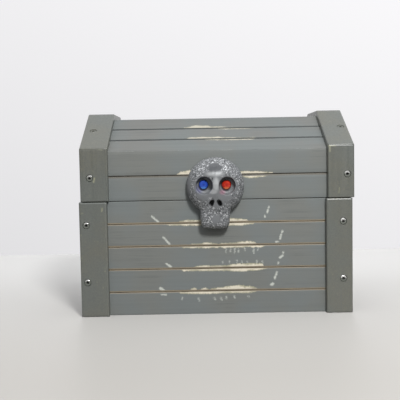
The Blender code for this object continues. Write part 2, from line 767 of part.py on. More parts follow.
def nostril_cutter(side, sign, place):
    """A leaning drop-shaped hole."""
    shape = bmesh.new()
    bmesh.ops.create_uvsphere(shape, u_segments=ROUND_SIDES, v_segments=ROUND_SIDES // 2, radius=1)
    stand = SKULL_RIM + skull_stand(sign * NOSTRIL_SPREAD, -NOSTRIL_DROP)
    spot = Matrix.Translation((sign * NOSTRIL_SPREAD, -NOSTRIL_DROP, stand))
    lean = Matrix.Rotation(math.radians(sign * NOSTRIL_TILT_DEGREES), 4, "Z")
    size = Matrix.Diagonal((NOSTRIL_HALF_WIDTH, NOSTRIL_HALF_HEIGHT, NOSTRIL_DEPTH, 1))
    bmesh.ops.transform(shape, matrix=place @ spot @ lean @ size, verts=shape.verts)
    return add_object(f"cut_nostril_{side}", shape)


def build_stone(name, sign, finish):
    """A flat-backed round stone: girdle, a crown of kite and triangle facets, and a table."""
    shape = bmesh.new()
    levels = [
        (STONE_RADIUS, 0, 0),
        (STONE_RADIUS, STONE_GIRDLE, 0),
        (STONE_RADIUS * STONE_CROWN_SHARE, (STONE_GIRDLE + STONE_HEIGHT) / 2, 0.5),
        (STONE_RADIUS * STONE_TABLE_SHARE, STONE_HEIGHT, 0),
    ]
    rings = []
    for radius, height, turn in levels:
        rings.append([
            shape.verts.new((
                radius * math.cos(math.tau * (step + turn) / STONE_SIDES),
                radius * math.sin(math.tau * (step + turn) / STONE_SIDES),
                height,
            ))
            for step in range(STONE_SIDES)
        ])
    for step in range(STONE_SIDES):
        after = (step + 1) % STONE_SIDES
        base, girdle, crown, table = rings
        shape.faces.new((base[step], base[after], girdle[after], girdle[step]))
        shape.faces.new((girdle[step], girdle[after], crown[step]))
        shape.faces.new((girdle[after], crown[after], crown[step]))
        shape.faces.new((crown[step], crown[after], table[after]))
        shape.faces.new((crown[step], table[after], table[step]))
    shape.faces.new(list(reversed(rings[0])))
    shape.faces.new(rings[-1])
    spot = Matrix.Translation((
        sign * SOCKET_SPREAD + STONE_SHIFT_X,
        SOCKET_RISE + STONE_SHIFT_Z,
        SOCKET_FLOOR_STAND + FIT_GAP,
    ))
    bmesh.ops.transform(shape, matrix=skull_place() @ spot, verts=shape.verts)
    return add_object(name, shape, finish)


def hang_on_hinge_axis(pieces):
    """Parents the lid's pieces to an empty on the line that both pins share."""
    axis = bpy.data.objects.new("lid_axis", None)
    axis.location = (0, AXIS_Y, AXIS_Z)
    bpy.context.collection.objects.link(axis)
    bpy.context.view_layer.update()
    for piece in pieces:
        piece.parent = axis
        piece.matrix_parent_inverse = axis.matrix_world.inverted()


def build_chest():
    slat_paint = material("slat_paint", (0.19, 0.20, 0.20), 0.55)
    strap_paint = material("strap_paint", (0.15, 0.16, 0.14), 0.5)
    bare_wood = material("bare_wood", (0.55, 0.42, 0.27), 0.7)
    steel = material("screw_steel", (0.60, 0.60, 0.58), 0.35, 1.0)
    brass = material("hinge_brass", (0.72, 0.53, 0.26), 0.35, 1.0)
    pewter = material("skull_silver", (0.22, 0.22, 0.23), 0.38, 0.6)
    blue = material("stone_blue", (0.02, 0.06, 0.42), 0.08)
    red = material("stone_red", (0.50, 0.02, 0.01), 0.08)
    places = strap_screw_places()
    pieces = build_slats(slat_paint, places)
    pieces += build_straps(strap_paint, places)
    pieces += build_end_boards(slat_paint, places)
    pieces += build_front_screws(steel, places)
    pieces += build_floor(bare_wood)
    lid = [piece for piece in pieces if piece.name.startswith("lid_")]
    for side in SIDES:
        lid.append(build_hinge(side, side_sign(side), brass, brass)[1])
    lid.append(build_skull(pewter))
    lid.append(build_stone("eye_stone_blue", side_sign("left"), blue))
    lid.append(build_stone("eye_stone_red", side_sign("right"), red))
    hang_on_hinge_axis(lid)


clear_scene()
build_chest()
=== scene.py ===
"""A small slatted treasure chest in rubbed grey paint, made piece by piece on its CAD frame.

Metres, +Z up, the front towards -Y. Marks on the paint and sizes of patterns are in millimetres.
"""
import math

import bmesh
import bpy
from mathutils import Matrix, Vector, noise


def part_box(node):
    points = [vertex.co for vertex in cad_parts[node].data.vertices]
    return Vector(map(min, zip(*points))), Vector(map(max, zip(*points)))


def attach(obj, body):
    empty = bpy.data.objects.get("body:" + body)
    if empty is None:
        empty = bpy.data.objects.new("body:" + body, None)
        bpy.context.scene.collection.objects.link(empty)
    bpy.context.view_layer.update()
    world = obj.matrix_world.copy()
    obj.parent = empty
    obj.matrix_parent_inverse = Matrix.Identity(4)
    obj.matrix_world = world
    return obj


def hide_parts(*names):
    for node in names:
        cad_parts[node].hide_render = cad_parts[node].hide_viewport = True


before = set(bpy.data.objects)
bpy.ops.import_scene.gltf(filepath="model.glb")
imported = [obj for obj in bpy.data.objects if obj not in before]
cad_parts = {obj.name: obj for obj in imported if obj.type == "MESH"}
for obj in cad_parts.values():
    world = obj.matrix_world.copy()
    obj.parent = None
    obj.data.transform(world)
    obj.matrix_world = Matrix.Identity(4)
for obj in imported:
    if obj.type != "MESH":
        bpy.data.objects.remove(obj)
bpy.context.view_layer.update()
bpy.ops.object.select_all(action="DESELECT")


# End boards. Four basswood boards close the ends, oblong in the body and gabled in the lid.
# They are sawn to shape, lightly rounded, painted outside with the slats and left bare
# inside; every slat is glued over their edges.
END_BOARD_ROUND = 0.0009
END_BOARD_CUTS = 18
MILLIMETRES = 1000
HAIR = 0.00001
COLOUR = {"data_type": "RGBA"}
SOFT = {"interpolation_type": "SMOOTHSTEP"}
ADD, SUBTRACT, MULTIPLY, MULTIPLY_ADD, MAXIMUM = [
    {"operation": name} for name in ("ADD", "SUBTRACT", "MULTIPLY", "MULTIPLY_ADD", "MAXIMUM")]

# The patterns in wood and paint. A line's size is its width and how far it runs.
GRAIN_LINE = (2.381, 111.1)
GRAIN_BAND = (14.29, 250)
BRUSH_LINE = (2.304, 204.1)
STREAK_LINE = (1.241, 109.9)
SHADE_PATCH = 52.63
RAGGED_EDGE = 9.091
CHIP = 1.538
PAINT_FILM = 0.00008


def linear(code):
    """A colour written in sRGB hex, in the linear values that a shader takes."""
    parts = [int(code[place:place + 2], 16) / 255 for place in (1, 3, 5)]
    return (*(part / 12.92 if part <= 0.04045 else ((part + 0.055) / 1.055) ** 2.4 for part in parts), 1)


def add_node(tree, kind, settings, inputs, out=0):
    """Adds a node with its settings and its inputs' values or links, and returns one output."""
    node = tree.nodes.new("ShaderNode" + kind)
    for name, value in settings.items():
        setattr(node, name, value)
    for name, value in inputs.items():
        if isinstance(value, bpy.types.NodeSocket):
            tree.links.new(value, node.inputs[name])
        else:
            node.inputs[name].default_value = value
    return node.outputs[out]


def start_material(name, settings):
    """A new material, its tree, its shader with these settings, and the place on the piece."""
    made = bpy.data.materials.new(name)
    made.use_nodes = True
    tree = made.node_tree
    shader = tree.nodes["Principled BSDF"]
    for socket, value in settings.items():
        shader.inputs[socket].default_value = value
    return made, tree, shader.inputs, add_node(tree, "TexCoord", {}, {}, "Object")


def draw_lines(tree, place, along, size, detail, distortion=0.0):
    """Noise drawn out into lines that are this wide and run this far along one axis."""
    width, run = size
    scales = [MILLIMETRES / (run if axis == along else width) for axis in "XYZ"]
    place = add_node(tree, "VectorMath", MULTIPLY, {0: place, 1: scales})
    return add_node(tree, "TexNoise", {}, {
        "Vector": place, "Scale": 1, "Detail": detail, "Distortion": distortion})


def lay_over(tree, under, over, value, low, high, most=1.0):
    """Lays one colour over another where a value passes softly from low to high."""
    share = add_node(tree, "MapRange", SOFT, {0: value, 1: low, 2: high, 4: most})
    return add_node(tree, "Mix", COLOUR, {0: share, 6: under, 7: over}, 2)


def bare_wood_colour(tree, place, along):
    """Planed basswood: pale cream, with faint darker lines that run with the board."""
    lines = draw_lines(tree, place, along, GRAIN_LINE, 4, 0.6)
    bands = draw_lines(tree, place, along, GRAIN_BAND, 2, 1.5)
    wood = lay_over(tree, linear("#dccaac"), linear("#d2bb96"), bands, 0.35, 0.65)
    return lay_over(tree, wood, linear("#b3946a"), lines, 0.45, 0.75, 0.5)


def brushed_paint(name, along, colours, groove_colours, roughness, index=1.44):
    """Chalky grey emulsion brushed on basswood, rubbed through along the grooves.

    It is nearly even, with faint brush lines along the board and a few darker streaks. Where
    it is rubbed the pale wood shows inside a thin fringe. The grooves take little paint; their own
    colours are a stain with painted light and shade laid in them.
    """
    cool, warm, fringe, bared, scuffed = [linear(code) for code in colours]
    made, tree, shader, place = start_material(name, {"IOR": index})
    brushed = draw_lines(tree, place, along, BRUSH_LINE, 3)
    grain = draw_lines(tree, place, along, STREAK_LINE, 3, 0.4)
    patches, uneven, chips = [
        add_node(tree, "TexNoise", {}, {"Vector": place, "Scale": MILLIMETRES / size, "Detail": detail})
        for size, detail in ((SHADE_PATCH, 3), (RAGGED_EDGE, 2), (CHIP, 3))]
    worn_low, worn_high, scuff, groove, inner = [
        add_node(tree, "Attribute", {"attribute_name": kept}, {}, "Fac")
        for kept in ("worn_low", "worn_high", "scuffed", "groove", "inner")]

    colour = lay_over(tree, cool, warm, patches, 0.35, 0.65)
    colour = lay_over(tree, colour, linear("#5c605f"), brushed, 0.4, 0.8, 0.13)
    streak = add_node(tree, "Math", MULTIPLY, {0: grain, 1: patches})
    colour = lay_over(tree, colour, linear("#5a5f5e"), streak, 0.33, 0.42, 0.3)

    # Rubbed through: a ragged edge, a fringe of thin paint, then the bared wood.
    worn = add_node(tree, "Math", MAXIMUM, {0: worn_low, 1: worn_high})
    ragged = add_node(tree, "Math", MULTIPLY_ADD, {0: chips, 1: 3.2, 2: -3.8})
    worn = add_node(tree, "Math", ADD, {0: worn, 1: ragged})
    worn = add_node(tree, "Math", MULTIPLY_ADD, {0: uneven, 1: 2.4, 2: worn})
    rubbed = add_node(tree, "MapRange", SOFT, {0: worn, 1: -0.4, 2: 0.6})
    core = add_node(tree, "Math", MULTIPLY_ADD, {0: worn, 1: 0.2, 2: uneven})
    pale = lay_over(tree, fringe, bared, core, 0.5, 0.95)
    colour = add_node(tree, "Mix", COLOUR, {0: rubbed, 6: colour, 7: pale}, 2)

    # Loose scuffs and chips, broken up into specks.
    scuff = add_node(tree, "Math", MULTIPLY_ADD, {0: chips, 1: 2.4, 2: scuff})
    colour = lay_over(tree, colour, scuffed, scuff, 1.7, 3.3, 0.9)

    # The colour in the grooves, with its second colour at their bottom. On the body's front it is a brown
    # stain of bare wood, lighter at the bottom as painted light against the groove's shade, and on the
    # lid's front a greyer brown; on the slopes, back and ends a dark grey, darker at the bottom, that is
    # painted shade.
    groove = add_node(tree, "Math", MULTIPLY_ADD, {0: chips, 1: 0.8, 2: groove})
    stain_and_painted_light = lay_over(tree, linear(groove_colours[0]), linear(groove_colours[1]), groove, 0.7, 1.6)
    colour = lay_over(tree, colour, stain_and_painted_light, groove, 0.0, 0.9)

    # The side that faces into the chest was never painted.
    colour = lay_over(tree, colour, bare_wood_colour(tree, place, along), inner, 0.95, 0.99)
    tree.links.new(colour, shader["Base Color"])

    rough = {0: brushed, 1: 0.3, 2: 0.7, 3: roughness - 0.06, 4: roughness + 0.06}
    tree.links.new(add_node(tree, "MapRange", SOFT, rough), shader["Roughness"])
    film = add_node(tree, "Math", MULTIPLY, {0: grain, 1: 0.35})
    film = add_node(tree, "Math", SUBTRACT, {0: film, 1: rubbed})
    bump = add_node(tree, "Bump", {}, {"Strength": 0.4, "Distance": PAINT_FILM, "Height": film})
    tree.links.new(bump, shader["Normal"])
    return made


def pick_only(piece):
    """Makes this piece the only selected one."""
    for other in bpy.context.selected_objects:
        other.select_set(False)
    bpy.context.view_layer.objects.active = piece
    piece.select_set(True)


def choose(piece, mode, test):
    """Opens a piece in edit mode with only what passes the test selected."""
    pick_only(piece)
    bpy.ops.object.mode_set(mode="EDIT")
    bpy.ops.mesh.select_mode(type=mode)
    bpy.ops.mesh.select_all(action="DESELECT")
    shape = bmesh.from_edit_mesh(piece.data)
    for item in shape.edges if mode == "EDGE" else shape.faces:
        item.select_set(test(item))
    shape.select_flush_mode()
    bmesh.update_edit_mesh(piece.data)


def close_edit():
    bpy.ops.object.mode_set(mode="OBJECT")


def settle(piece):
    """Moves the piece's place, turn and scale into its mesh."""
    pick_only(piece)
    bpy.ops.object.transform_apply(location=True, rotation=True, scale=True)


def add_block(name, middle, size, turn=0.0):
    """A sawn block, turned about X."""
    bpy.ops.mesh.primitive_cube_add(size=1, location=middle, rotation=(turn, 0, 0), scale=size)
    block = bpy.context.object
    block.name = name
    settle(block)
    return block


def saw(piece, place, outward):
    """Cuts a piece with a plane and drops what lies on the outward side."""
    choose(piece, "FACE", lambda face: True)
    bpy.ops.mesh.bisect(plane_co=place, plane_no=outward, use_fill=True, clear_outer=True)
    close_edit()


def round_edges(piece, width, segments, test):
    choose(piece, "EDGE", test)
    bpy.ops.mesh.bevel(offset=width, segments=segments, affect="EDGES")
    close_edit()


def divide(piece, cuts, test):
    """Splits the chosen edges, and the faces between them, into cuts + 1 equal parts."""
    choose(piece, "EDGE", test)
    bpy.ops.mesh.subdivide(number_cuts=cuts, quadcorner="INNERVERT")
    close_edit()


def is_along(edge, axis):
    """True if an edge runs along X, Y or Z, numbered 0 to 2."""
    run = (edge.verts[1].co - edge.verts[0].co).normalized()
    return abs(run[axis]) > 0.999


def write_value(piece, name, value_at):
    """Keeps a number at each point of the mesh, which the material reads by this name."""
    layer = piece.data.attributes.new(name, "FLOAT", "POINT")
    for point in piece.data.vertices:
        layer.data[point.index].value = value_at(point.co)


def smooth_shade(piece, degrees=40):
    pick_only(piece)
    bpy.ops.object.shade_smooth_by_angle(angle=math.radians(degrees))


def fit(piece, body, slot, finish, *nodes):
    """Gives a finished piece its material, the body it rides on and the solids it stands for."""
    piece.data.materials.clear()
    piece.data.materials.append(finish)
    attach(piece, body)
    if nodes:
        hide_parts(*nodes)


slope_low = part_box("lid_strap_front_slope_left")[0]
slope_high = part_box("lid_strap_top_left")
LID_SLOPE = math.atan2(slope_high[1].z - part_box("lid_strap_front_left")[1].z, slope_high[0].y - slope_low.y)

# The paint's two tones, the fringe of a rubbed place, the wood bared in it, and loose scuffs.
CHALK_GREY = ("#757a79", "#777975", "#aba78e", "#e0d8c4", "#cccfc6")
# Dark grey for the grooves of the slopes, back and ends, darker at their bottom: painted shade. On the straps
# and ends, where no groove is written, the chip noise lays a little of it.
GREY_GROOVE_PAINTED_SHADE = ("#4a4e4d", "#3e4241")
CHALKY = 0.62

end_paint = brushed_paint("chalk_paint_on_end_boards", "Y", CHALK_GREY, GREY_GROOVE_PAINTED_SHADE, CHALKY)
for part in ("body", "lid"):
    for side in ("left", "right"):
        node = f"{part}_end_{side}"
        low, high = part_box(node)
        board = add_block(node + "_board", (low + high) / 2, high - low)
        outside, inside = (low.x, high.x) if side == "left" else (high.x, low.x)
        if part == "lid":
            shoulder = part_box("lid_top_slat_1")[0].y
            for back in (-1, 1):
                place = (0, -back * shoulder, high.z)
                saw(board, place, (0, back * math.sin(LID_SLOPE), math.cos(LID_SLOPE)))
        round_edges(board, END_BOARD_ROUND, 2, lambda edge: all(
            abs(point.co.x - outside) < HAIR for point in edge.verts))
        divide(board, END_BOARD_CUTS, lambda edge: is_along(edge, 1))
        write_value(board, "inner", lambda place: float(abs(place.x - inside) < HAIR))
        smooth_shade(board)
        fit(board, part, "slat_paint", end_paint, node)


# Bottom. One thin sheet of bare basswood plywood drops between the end boards and the walls
# and is glued there; nobody sees more of it than its planed face.
BOTTOM_ROUND = 0.0004
BOTTOM_CUTS = 24
PORE = (0.7143, 33.33)
PORE_DEPTH = 0.00006
low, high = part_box("floor_board")
bottom = add_block("bottom_board", (low + high) / 2, high - low)
round_edges(bottom, BOTTOM_ROUND, 1, lambda edge: True)
divide(bottom, BOTTOM_CUTS, lambda edge: is_along(edge, 0))
smooth_shade(bottom)
bare_wood, tree, shader, place = start_material("planed_basswood", {"Roughness": 0.72})
tree.links.new(bare_wood_colour(tree, place, "X"), shader["Base Color"])
pores = draw_lines(tree, place, "X", PORE, 2)
bump = add_node(tree, "Bump", {}, {"Strength": 0.5, "Distance": PORE_DEPTH, "Height": pores})
tree.links.new(bump, shader["Normal"])
fit(bottom, "body", "bare_wood", bare_wood, "floor_board")


# Slats. Strips of basswood 8 mm thick cover the front, back and lid, glued edge to edge over
# the end boards. Where two meet, their arrises are planed off, which leaves a groove;
# after painting, the front's and the near slope's are rubbed back to the wood beside the grooves.
SLAT_THICKNESS = 0.0080
GROOVE_ROUND = 0.0011
MITRE_ROUND = 0.0003
RIM_ROUND = 0.0005
STAIN_WIDE = 1.8
STAIN_NARROW = 0.8
BEYOND_STAIN = 0.1
GROOVE_STOPS = 2.0
GLUE_LINE = 0.0003
SLAT_COLUMN_CUTS = 99
SLAT_ROW_CUTS = 5
MARKED_COLUMN_CUTS = 2
MARKED_ROW_CUTS = 24
ROUND_STEPS = 3
PAINTED_END_SHARE = 0.9
STRONG = 2.0
FAINT = 1.2
CREASE_SCUFF_AND_HIGHLIGHT = 0.9
CREASE_FADE = 0.7
CREASE_WAVES = 35
LID_FACES = ("front", "front_slope", "top", "back_slope", "back")

# How far a slat's face and its arrises wander from true, and how many waves go to a metre.
SLAT_WANDER = 0.00013
SLAT_WAVES = Vector((30, 90, 90))
ARRIS_WANDER = 2 * SLAT_WANDER
ARRIS_WAVES = 2.3 * SLAT_WAVES
ARRIS_REACH = 1.5 * GROOVE_ROUND

# The body front's grooves: a brown stain of bare wood, lighter at the bottom as painted light against the
# groove's shade. The lid front's: a greyer brown, a little darker at the bottom.
BROWN_STAIN_WITH_PAINTED_LIGHT = ("#867d6e", "#ab9e88")
BROWN_GREY_GROOVE = ("#6f6d66", "#6a665e")
# The chalk paint's colours painted darker for the slats away from the front, as painted shade.
CHALK_GREY_IN_PAINTED_SHADE = ("#707574", "#737471", "#86867b", "#b9b4a4", "#8f938f")
DULLED = 0.55

# How far the rubbing reaches in from a slat's lower or upper edge: (place along X, reach).
WORN_LOW = {
    "body_front_slat_5": (
        (-48, 0), (-40, 1.1), (-33, 2.2), (-24, 1.6), (14, 2.9), (28, 2.2), (34, 1.1), (37, 0)),
    "body_front_slat_4": (
        (-37, 0), (-27, 0.8), (-9, 1.6), (0, 0.9), (14, 1.1), (25, 2.0), (39, 1.7), (46, 0)),
    "body_front_slat_3": (
        (-31, 0), (-19, 1.7), (-8, 1.1), (10, 1.3), (18, 2.8), (33, 3.3), (50, 2.8), (52, 0)),
    "body_front_slat_2": (
        (-33, 0), (-27, 2.0), (-22, 0.3), (-14, 1.8), (-10, 0.7), (-4, 1.7), (4, 2.0),
        (15, 3.5), (27, 4.2), (38, 2.8), (46, 0)),
    "lid_front_slat_2": ((-45, 0), (-37, 3.0), (-29, 4.5), (25, 2.4), (43, 2.0), (60, 1.2), (64, 0)),
    "lid_front_slope_slat_2": ((-33, 0), (-28, 3.6), (-16, 4.2), (4, 3.4), (14, 1.6), (42, 1.2), (50, 0)),
    "lid_front_slope_slat_3": (
        (-38, 0), (-31, 3.0), (-25, 5.6), (-16, 6.0), (-8, 5.4), (-5, 3.8),
        (8, 3.2), (12, 0.9), (33, 0.6), (41, 0)),
}
WORN_HIGH = {
    "body_front_slat_4": (
        (-57, 0), (-53, 0.8), (-38, 1.6), (-24, 1.7), (14, 2.2), (28, 2.6), (39, 1.2), (44, 0)),
    "body_front_slat_3": ((-42, 0), (-37, 1.1), (-16, 1.4), (5, 1.3), (27, 1.4), (49, 1.4), (57, 0)),
    "body_front_slat_2": ((-41, 0), (-37, 1.7), (-21, 2.0), (4, 2.0), (20, 2.8), (44, 2.2), (57, 0)),
    "body_front_slat_1": ((-43, 0), (-42, 1.8), (-19, 2.2), (4, 2.0), (27, 2.0), (42, 1.3), (44, 0)),
    "lid_front_slat_1": ((25, 0), (37, 2.4), (46, 1.8), (63, 0)),
    "lid_front_slope_slat_1": ((-13, 0), (-8, 1.8), (20, 2.4), (40, 1.8), (48, 0)),
    "lid_front_slope_slat_2": ((-10, 0), (0, 1.0), (14, 2.4), (42, 2.0), (47, 0)),
}

# Loose marks on the front, left where it was rubbed across: x, z, x, z and half a width.
STROKES = (
    (-71.5, 110.0, -65.0, 104.0, 1.3), (-59.5, 86.5, -52.5, 79.0, 1.3),
    (-57.0, 57.0, -51.5, 53.5, 1.2), (-64.0, 29.5, -59.5, 26.5, 1.7), (-63.0, 22.5, -57.5, 22.3, 1.1),
    (57.8, 118.5, 57.2, 116.5, 1.0), (56.6, 114.5, 56.2, 112.5, 1.4), (53.6, 108.4, 53.2, 107.4, 1.2),
    (72.6, 91.6, 72.0, 90.0, 1.3), (71.0, 87.2, 70.0, 83.0, 1.3), (67.4, 79.6, 65.6, 79.3, 1.2),
    (73.6, 67.8, 73.0, 67.0, 1.1), (72.6, 63.8, 69.6, 61.6, 1.4), (67.6, 55.8, 67.4, 55.4, 1.4),
    (65.8, 45.2, 64.8, 42.0, 1.2), (64.2, 40.6, 63.6, 38.6, 1.5), (61.0, 32.2, 60.0, 31.8, 1.9),
)
TICKS = (
    (9.8, 72.4, 9.4, 68.6, 0.8), (14.8, 72.4, 14.6, 69.0, 0.8), (19.4, 72.6, 19.2, 67.6, 0.85),
    (23.6, 72.6, 23.6, 68.2, 0.8), (30.6, 72.8, 30.8, 70.0, 0.8), (40.0, 71.6, 40.6, 67.4, 1.1),
    (45.4, 72.6, 45.0, 70.4, 0.8), (6.0, 58.2, 6.2, 56.6, 0.9), (13.6, 58.6, 13.4, 57.0, 0.95),
    (21.4, 59.2, 21.6, 57.4, 1.0), (27.2, 58.2, 27.0, 57.2, 0.95), (33.0, 58.2, 33.0, 57.2, 0.95),
    (44.0, 58.6, 43.6, 57.2, 1.05), (50.0, 57.6, 50.2, 56.0, 1.1), (-39.6, 18.6, -40.4, 16.4, 0.95),
    (-21.6, 17.8, -21.0, 14.6, 1.1), (-4.4, 18.2, -3.2, 16.0, 1.3), (3.0, 18.0, 4.2, 15.4, 1.2),
    (9.4, 18.6, 9.2, 16.6, 1.1), (17.6, 19.4, 18.8, 17.4, 1.2), (33.4, 19.4, 35.0, 18.0, 1.1),
)

# The same chalk paint everywhere. Away from the front its colours are painted darker, as painted shade, and
# it lies a little smoother.
front_paint = brushed_paint("chalk_paint_on_front_slats", "X", CHALK_GREY, BROWN_STAIN_WITH_PAINTED_LIGHT, CHALKY)
lid_front_paint = brushed_paint(
    "chalk_paint_on_lid_front_slats", "X", CHALK_GREY, BROWN_GREY_GROOVE, CHALKY)
slat_paint = brushed_paint("chalk_paint_on_other_slats", "X", CHALK_GREY_IN_PAINTED_SHADE, GREY_GROOVE_PAINTED_SHADE, DULLED)


def reach_at(points, x, stain_and_painted_light):
    """The reach of the rubbing beyond the groove's stain and its painted light and shade, at this place along
    X.
    """
    if not points or x <= points[0][0] or x >= points[-1][0]:
        return -1.0
    for (x0, reach0), (x1, reach1) in zip(points, points[1:]):
        if x <= x1:
            reach = reach0 + (reach1 - reach0) * (x - x0) / (x1 - x0)
            return reach + (stain_and_painted_light + BEYOND_STAIN) * min(1, reach)


def write_marks(piece, *groups):
    """Keeps how far inside a mark each point of a front face lies, up to each group's strength."""
    def inside(place):
        spot = Vector((place.x, place.z)) * MILLIMETRES
        deepest = -2.0
        for marks, strength in groups:
            for x0, z0, x1, z1, half in marks:
                start = Vector((x0, z0))
                run = Vector((x1, z1)) - start
                share = min(1, max(0, (spot - start).dot(run) / run.length_squared))
                depth = 1 + half - (spot - start - run * share).length
                deepest = max(deepest, min(depth, strength))
        return deepest

    write_value(piece, "scuffed", inside)


def lay_board(node, thickness, start, end, outward_start, outward_end):
    """A board along X with its outer face from start to end in (Y, Z) and its inside on the right.

    Returns it, its directions along and inward, and three functions: how deep a place lies in it,
    how far it lies from the start, and whether an edge lies in the outer face.
    """
    along = (end - start).normalized()
    inward = Vector((along.y, -along.x))
    low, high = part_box(node)
    middle = (start + end) / 2 + inward * thickness / 2
    size = (high.x - low.x, (end - start).length + 2 * thickness, thickness)
    board = add_block(node + "_board", ((low.x + high.x) / 2, *middle), size, math.atan2(along.y, along.x))
    saw(board, (0, *start), (0, *outward_start))
    saw(board, (0, *end), (0, *outward_end))

    def depth(place):
        return (place.yz - start).dot(inward)

    def rise(place):
        return (place.yz - start).dot(along)

    def is_outer(edge):
        return all(depth(point.co) < HAIR for point in edge.verts)

    return board, along, inward, depth, rise, is_outer


def lay_slat(node, start, end, outward_start, outward_end, round_start, round_end):
    """One slat: its arrises rounded, its surface a little uneven, its worn edges written down."""
    slat, along, inward, depth, rise, is_outer = lay_board(
        node, SLAT_THICKNESS, start, end, outward_start, outward_end)
    length = (end - start).length
    marked = "body_front" in node
    finish = front_paint if marked else slat_paint
    stain_up, stain_down = STAIN_WIDE, STAIN_NARROW
    if "lid_front_slat" in node:
        finish = lid_front_paint
        stain_up, stain_down = STAIN_NARROW, STAIN_WIDE
    for width, from_start in ((round_start, True), (round_end, False)):
        round_edges(slat, width, ROUND_STEPS, lambda edge: is_outer(edge) and is_along(edge, 0) and (
            (rise(edge.verts[0].co) < length / 2) == from_start))
    divide(slat, SLAT_COLUMN_CUTS, lambda edge: is_along(edge, 0))
    if marked:
        divide(slat, MARKED_COLUMN_CUTS, lambda edge: is_along(edge, 0))
    rows = MARKED_ROW_CUTS if marked else SLAT_ROW_CUTS
    divide(slat, rows, lambda edge: not is_along(edge, 0) and is_outer(edge))
    worn_low = WORN_LOW.get(node, ())
    worn_high = WORN_HIGH.get(node, ())
    write_value(slat, "worn_low", lambda place: (
        1 + reach_at(worn_low, place.x * MILLIMETRES, stain_up) - rise(place) * MILLIMETRES))
    write_value(slat, "worn_high", lambda place: (
        1 + reach_at(worn_high, place.x * MILLIMETRES, stain_down) - (length - rise(place)) * MILLIMETRES))
    low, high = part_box(node)

    def is_end(place):
        return min(place.x - low.x, high.x - place.x) < HAIR

    write_value(slat, "inner", lambda place: (
        depth(place) / SLAT_THICKNESS * (PAINTED_END_SHARE if is_end(place) else 1)))

    def in_groove(place):
        if is_end(place):
            return -GROOVE_STOPS
        up = stain_up if round_start == GROOVE_ROUND else -stain_up
        down = stain_down if round_end == GROOVE_ROUND else -stain_down
        return max(up - rise(place) * MILLIMETRES, down - (length - rise(place)) * MILLIMETRES)

    write_value(slat, "groove", in_groove)
    # A pale line along the crease with the lid front, partly wear and partly a painted highlight.
    if node == "lid_front_slope_slat_1":
        write_value(slat, "scuffed", lambda place: (
            CREASE_SCUFF_AND_HIGHLIGHT + noise.noise((place.x * CREASE_WAVES, 0, 0))
            - CREASE_FADE * rise(place) * MILLIMETRES))
    if marked:
        write_marks(slat, (STROKES, STRONG), (TICKS, FAINT))
    for point in slat.data.vertices:
        from_end = min(rise(point.co), length - rise(point.co))
        true_place = point.co.copy()
        if from_end < ARRIS_REACH:
            toward = round_start if rise(point.co) < length / 2 else -round_end
            wander = abs(noise.noise(true_place * ARRIS_WAVES)) * ARRIS_WANDER
            point.co.yz += along * toward / GROOVE_ROUND * wander
        if depth(point.co) < SLAT_THICKNESS / 2:
            point.co.yz += inward * abs(noise.noise(true_place * SLAT_WAVES)) * SLAT_WANDER
    smooth_shade(slat)
    fit(slat, node.split("_")[0], "slat_paint", finish, node)


def wall_ends(node, facing):
    """Both ends of an upright board's outer face in (Y, Z), up at the front and down at the back."""
    low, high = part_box(node)
    y = low.y if facing < 0 else high.y
    return (Vector((y, low.z)), Vector((y, high.z)))[::-facing]


for wall, facing in (("front", -1), ("back", 1)):
    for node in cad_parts:
        if node.startswith(f"body_{wall}_slat_"):
            start, end = wall_ends(node, facing)
            rims = [RIM_ROUND if node.endswith(last) else GROOVE_ROUND for last in "15"]
            lay_slat(node, start, end, start - end, end - start, *rims[::-facing])


def lid_corners(lowest, highest, top):
    """Where these pieces' outer faces meet, in (Y, Z), from the lid's front foot over to its back foot."""
    front = [
        Vector((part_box(lowest)[0].y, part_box(lowest)[0].z)),
        Vector((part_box(highest)[0].y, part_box(highest)[1].z)),
        Vector((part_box(top)[0].y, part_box(top)[1].z)),
    ]
    return front + [Vector((-point.x, point.y)) for point in reversed(front)]


def end_planes(corners, index):
    """The outward directions of the two ends, mitred or square, of the lid's face of this index."""
    along = [(second - first).normalized() for first, second in zip(corners, corners[1:])]
    before = along[max(index - 1, 0)]
    after = along[min(index + 1, len(along) - 1)]
    return -(before + along[index]), after + along[index]


slat_corners = lid_corners("lid_front_slat_1", "lid_front_slat_2", "lid_top_slat_1")
for index, face in enumerate(LID_FACES):
    count = sum(node.startswith(f"lid_{face}_slat_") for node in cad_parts)
    first, last = slat_corners[index:index + 2]
    along = (last - first).normalized()
    planes = end_planes(slat_corners, index)
    for number in range(count):
        is_first, is_last = number == 0, number == count - 1
        start = first.lerp(last, number / count) + along * (0 if is_first else GLUE_LINE / 2)
        end = first.lerp(last, (number + 1) / count) - along * (0 if is_last else GLUE_LINE / 2)
        outward = (planes[0] if is_first else -along, planes[1] if is_last else along)
        rounds = [MITRE_ROUND if mitred else GROOVE_ROUND for mitred in (is_first, is_last)]
        lay_slat(f"lid_{face}_slat_{number + 1}", start, end, *outward, *rounds)


# Straps. Battens 29 mm wide wrap each end of the chest, one up each wall of the body and five
# mitred round the lid. They are screwed through the slats, painted a browner grey that lies a
# little glossier, and chipped to pale wood at their corners.
STRAP_ROUND = 0.0014
STRAP_ROW_CUTS = 30
STRAP_COLUMN_CUTS = 9
MARKED_STRAP_ROW_CUTS = 99
MARKED_STRAP_COLUMN_CUTS = 35
STRAP_GREY = ("#62665e", "#686758", "#8a8c68", "#c4c39a", "#b3b38f")
SATIN = 0.38
SATIN_INDEX = 1.95
BELOW_ARRIS = 0.2

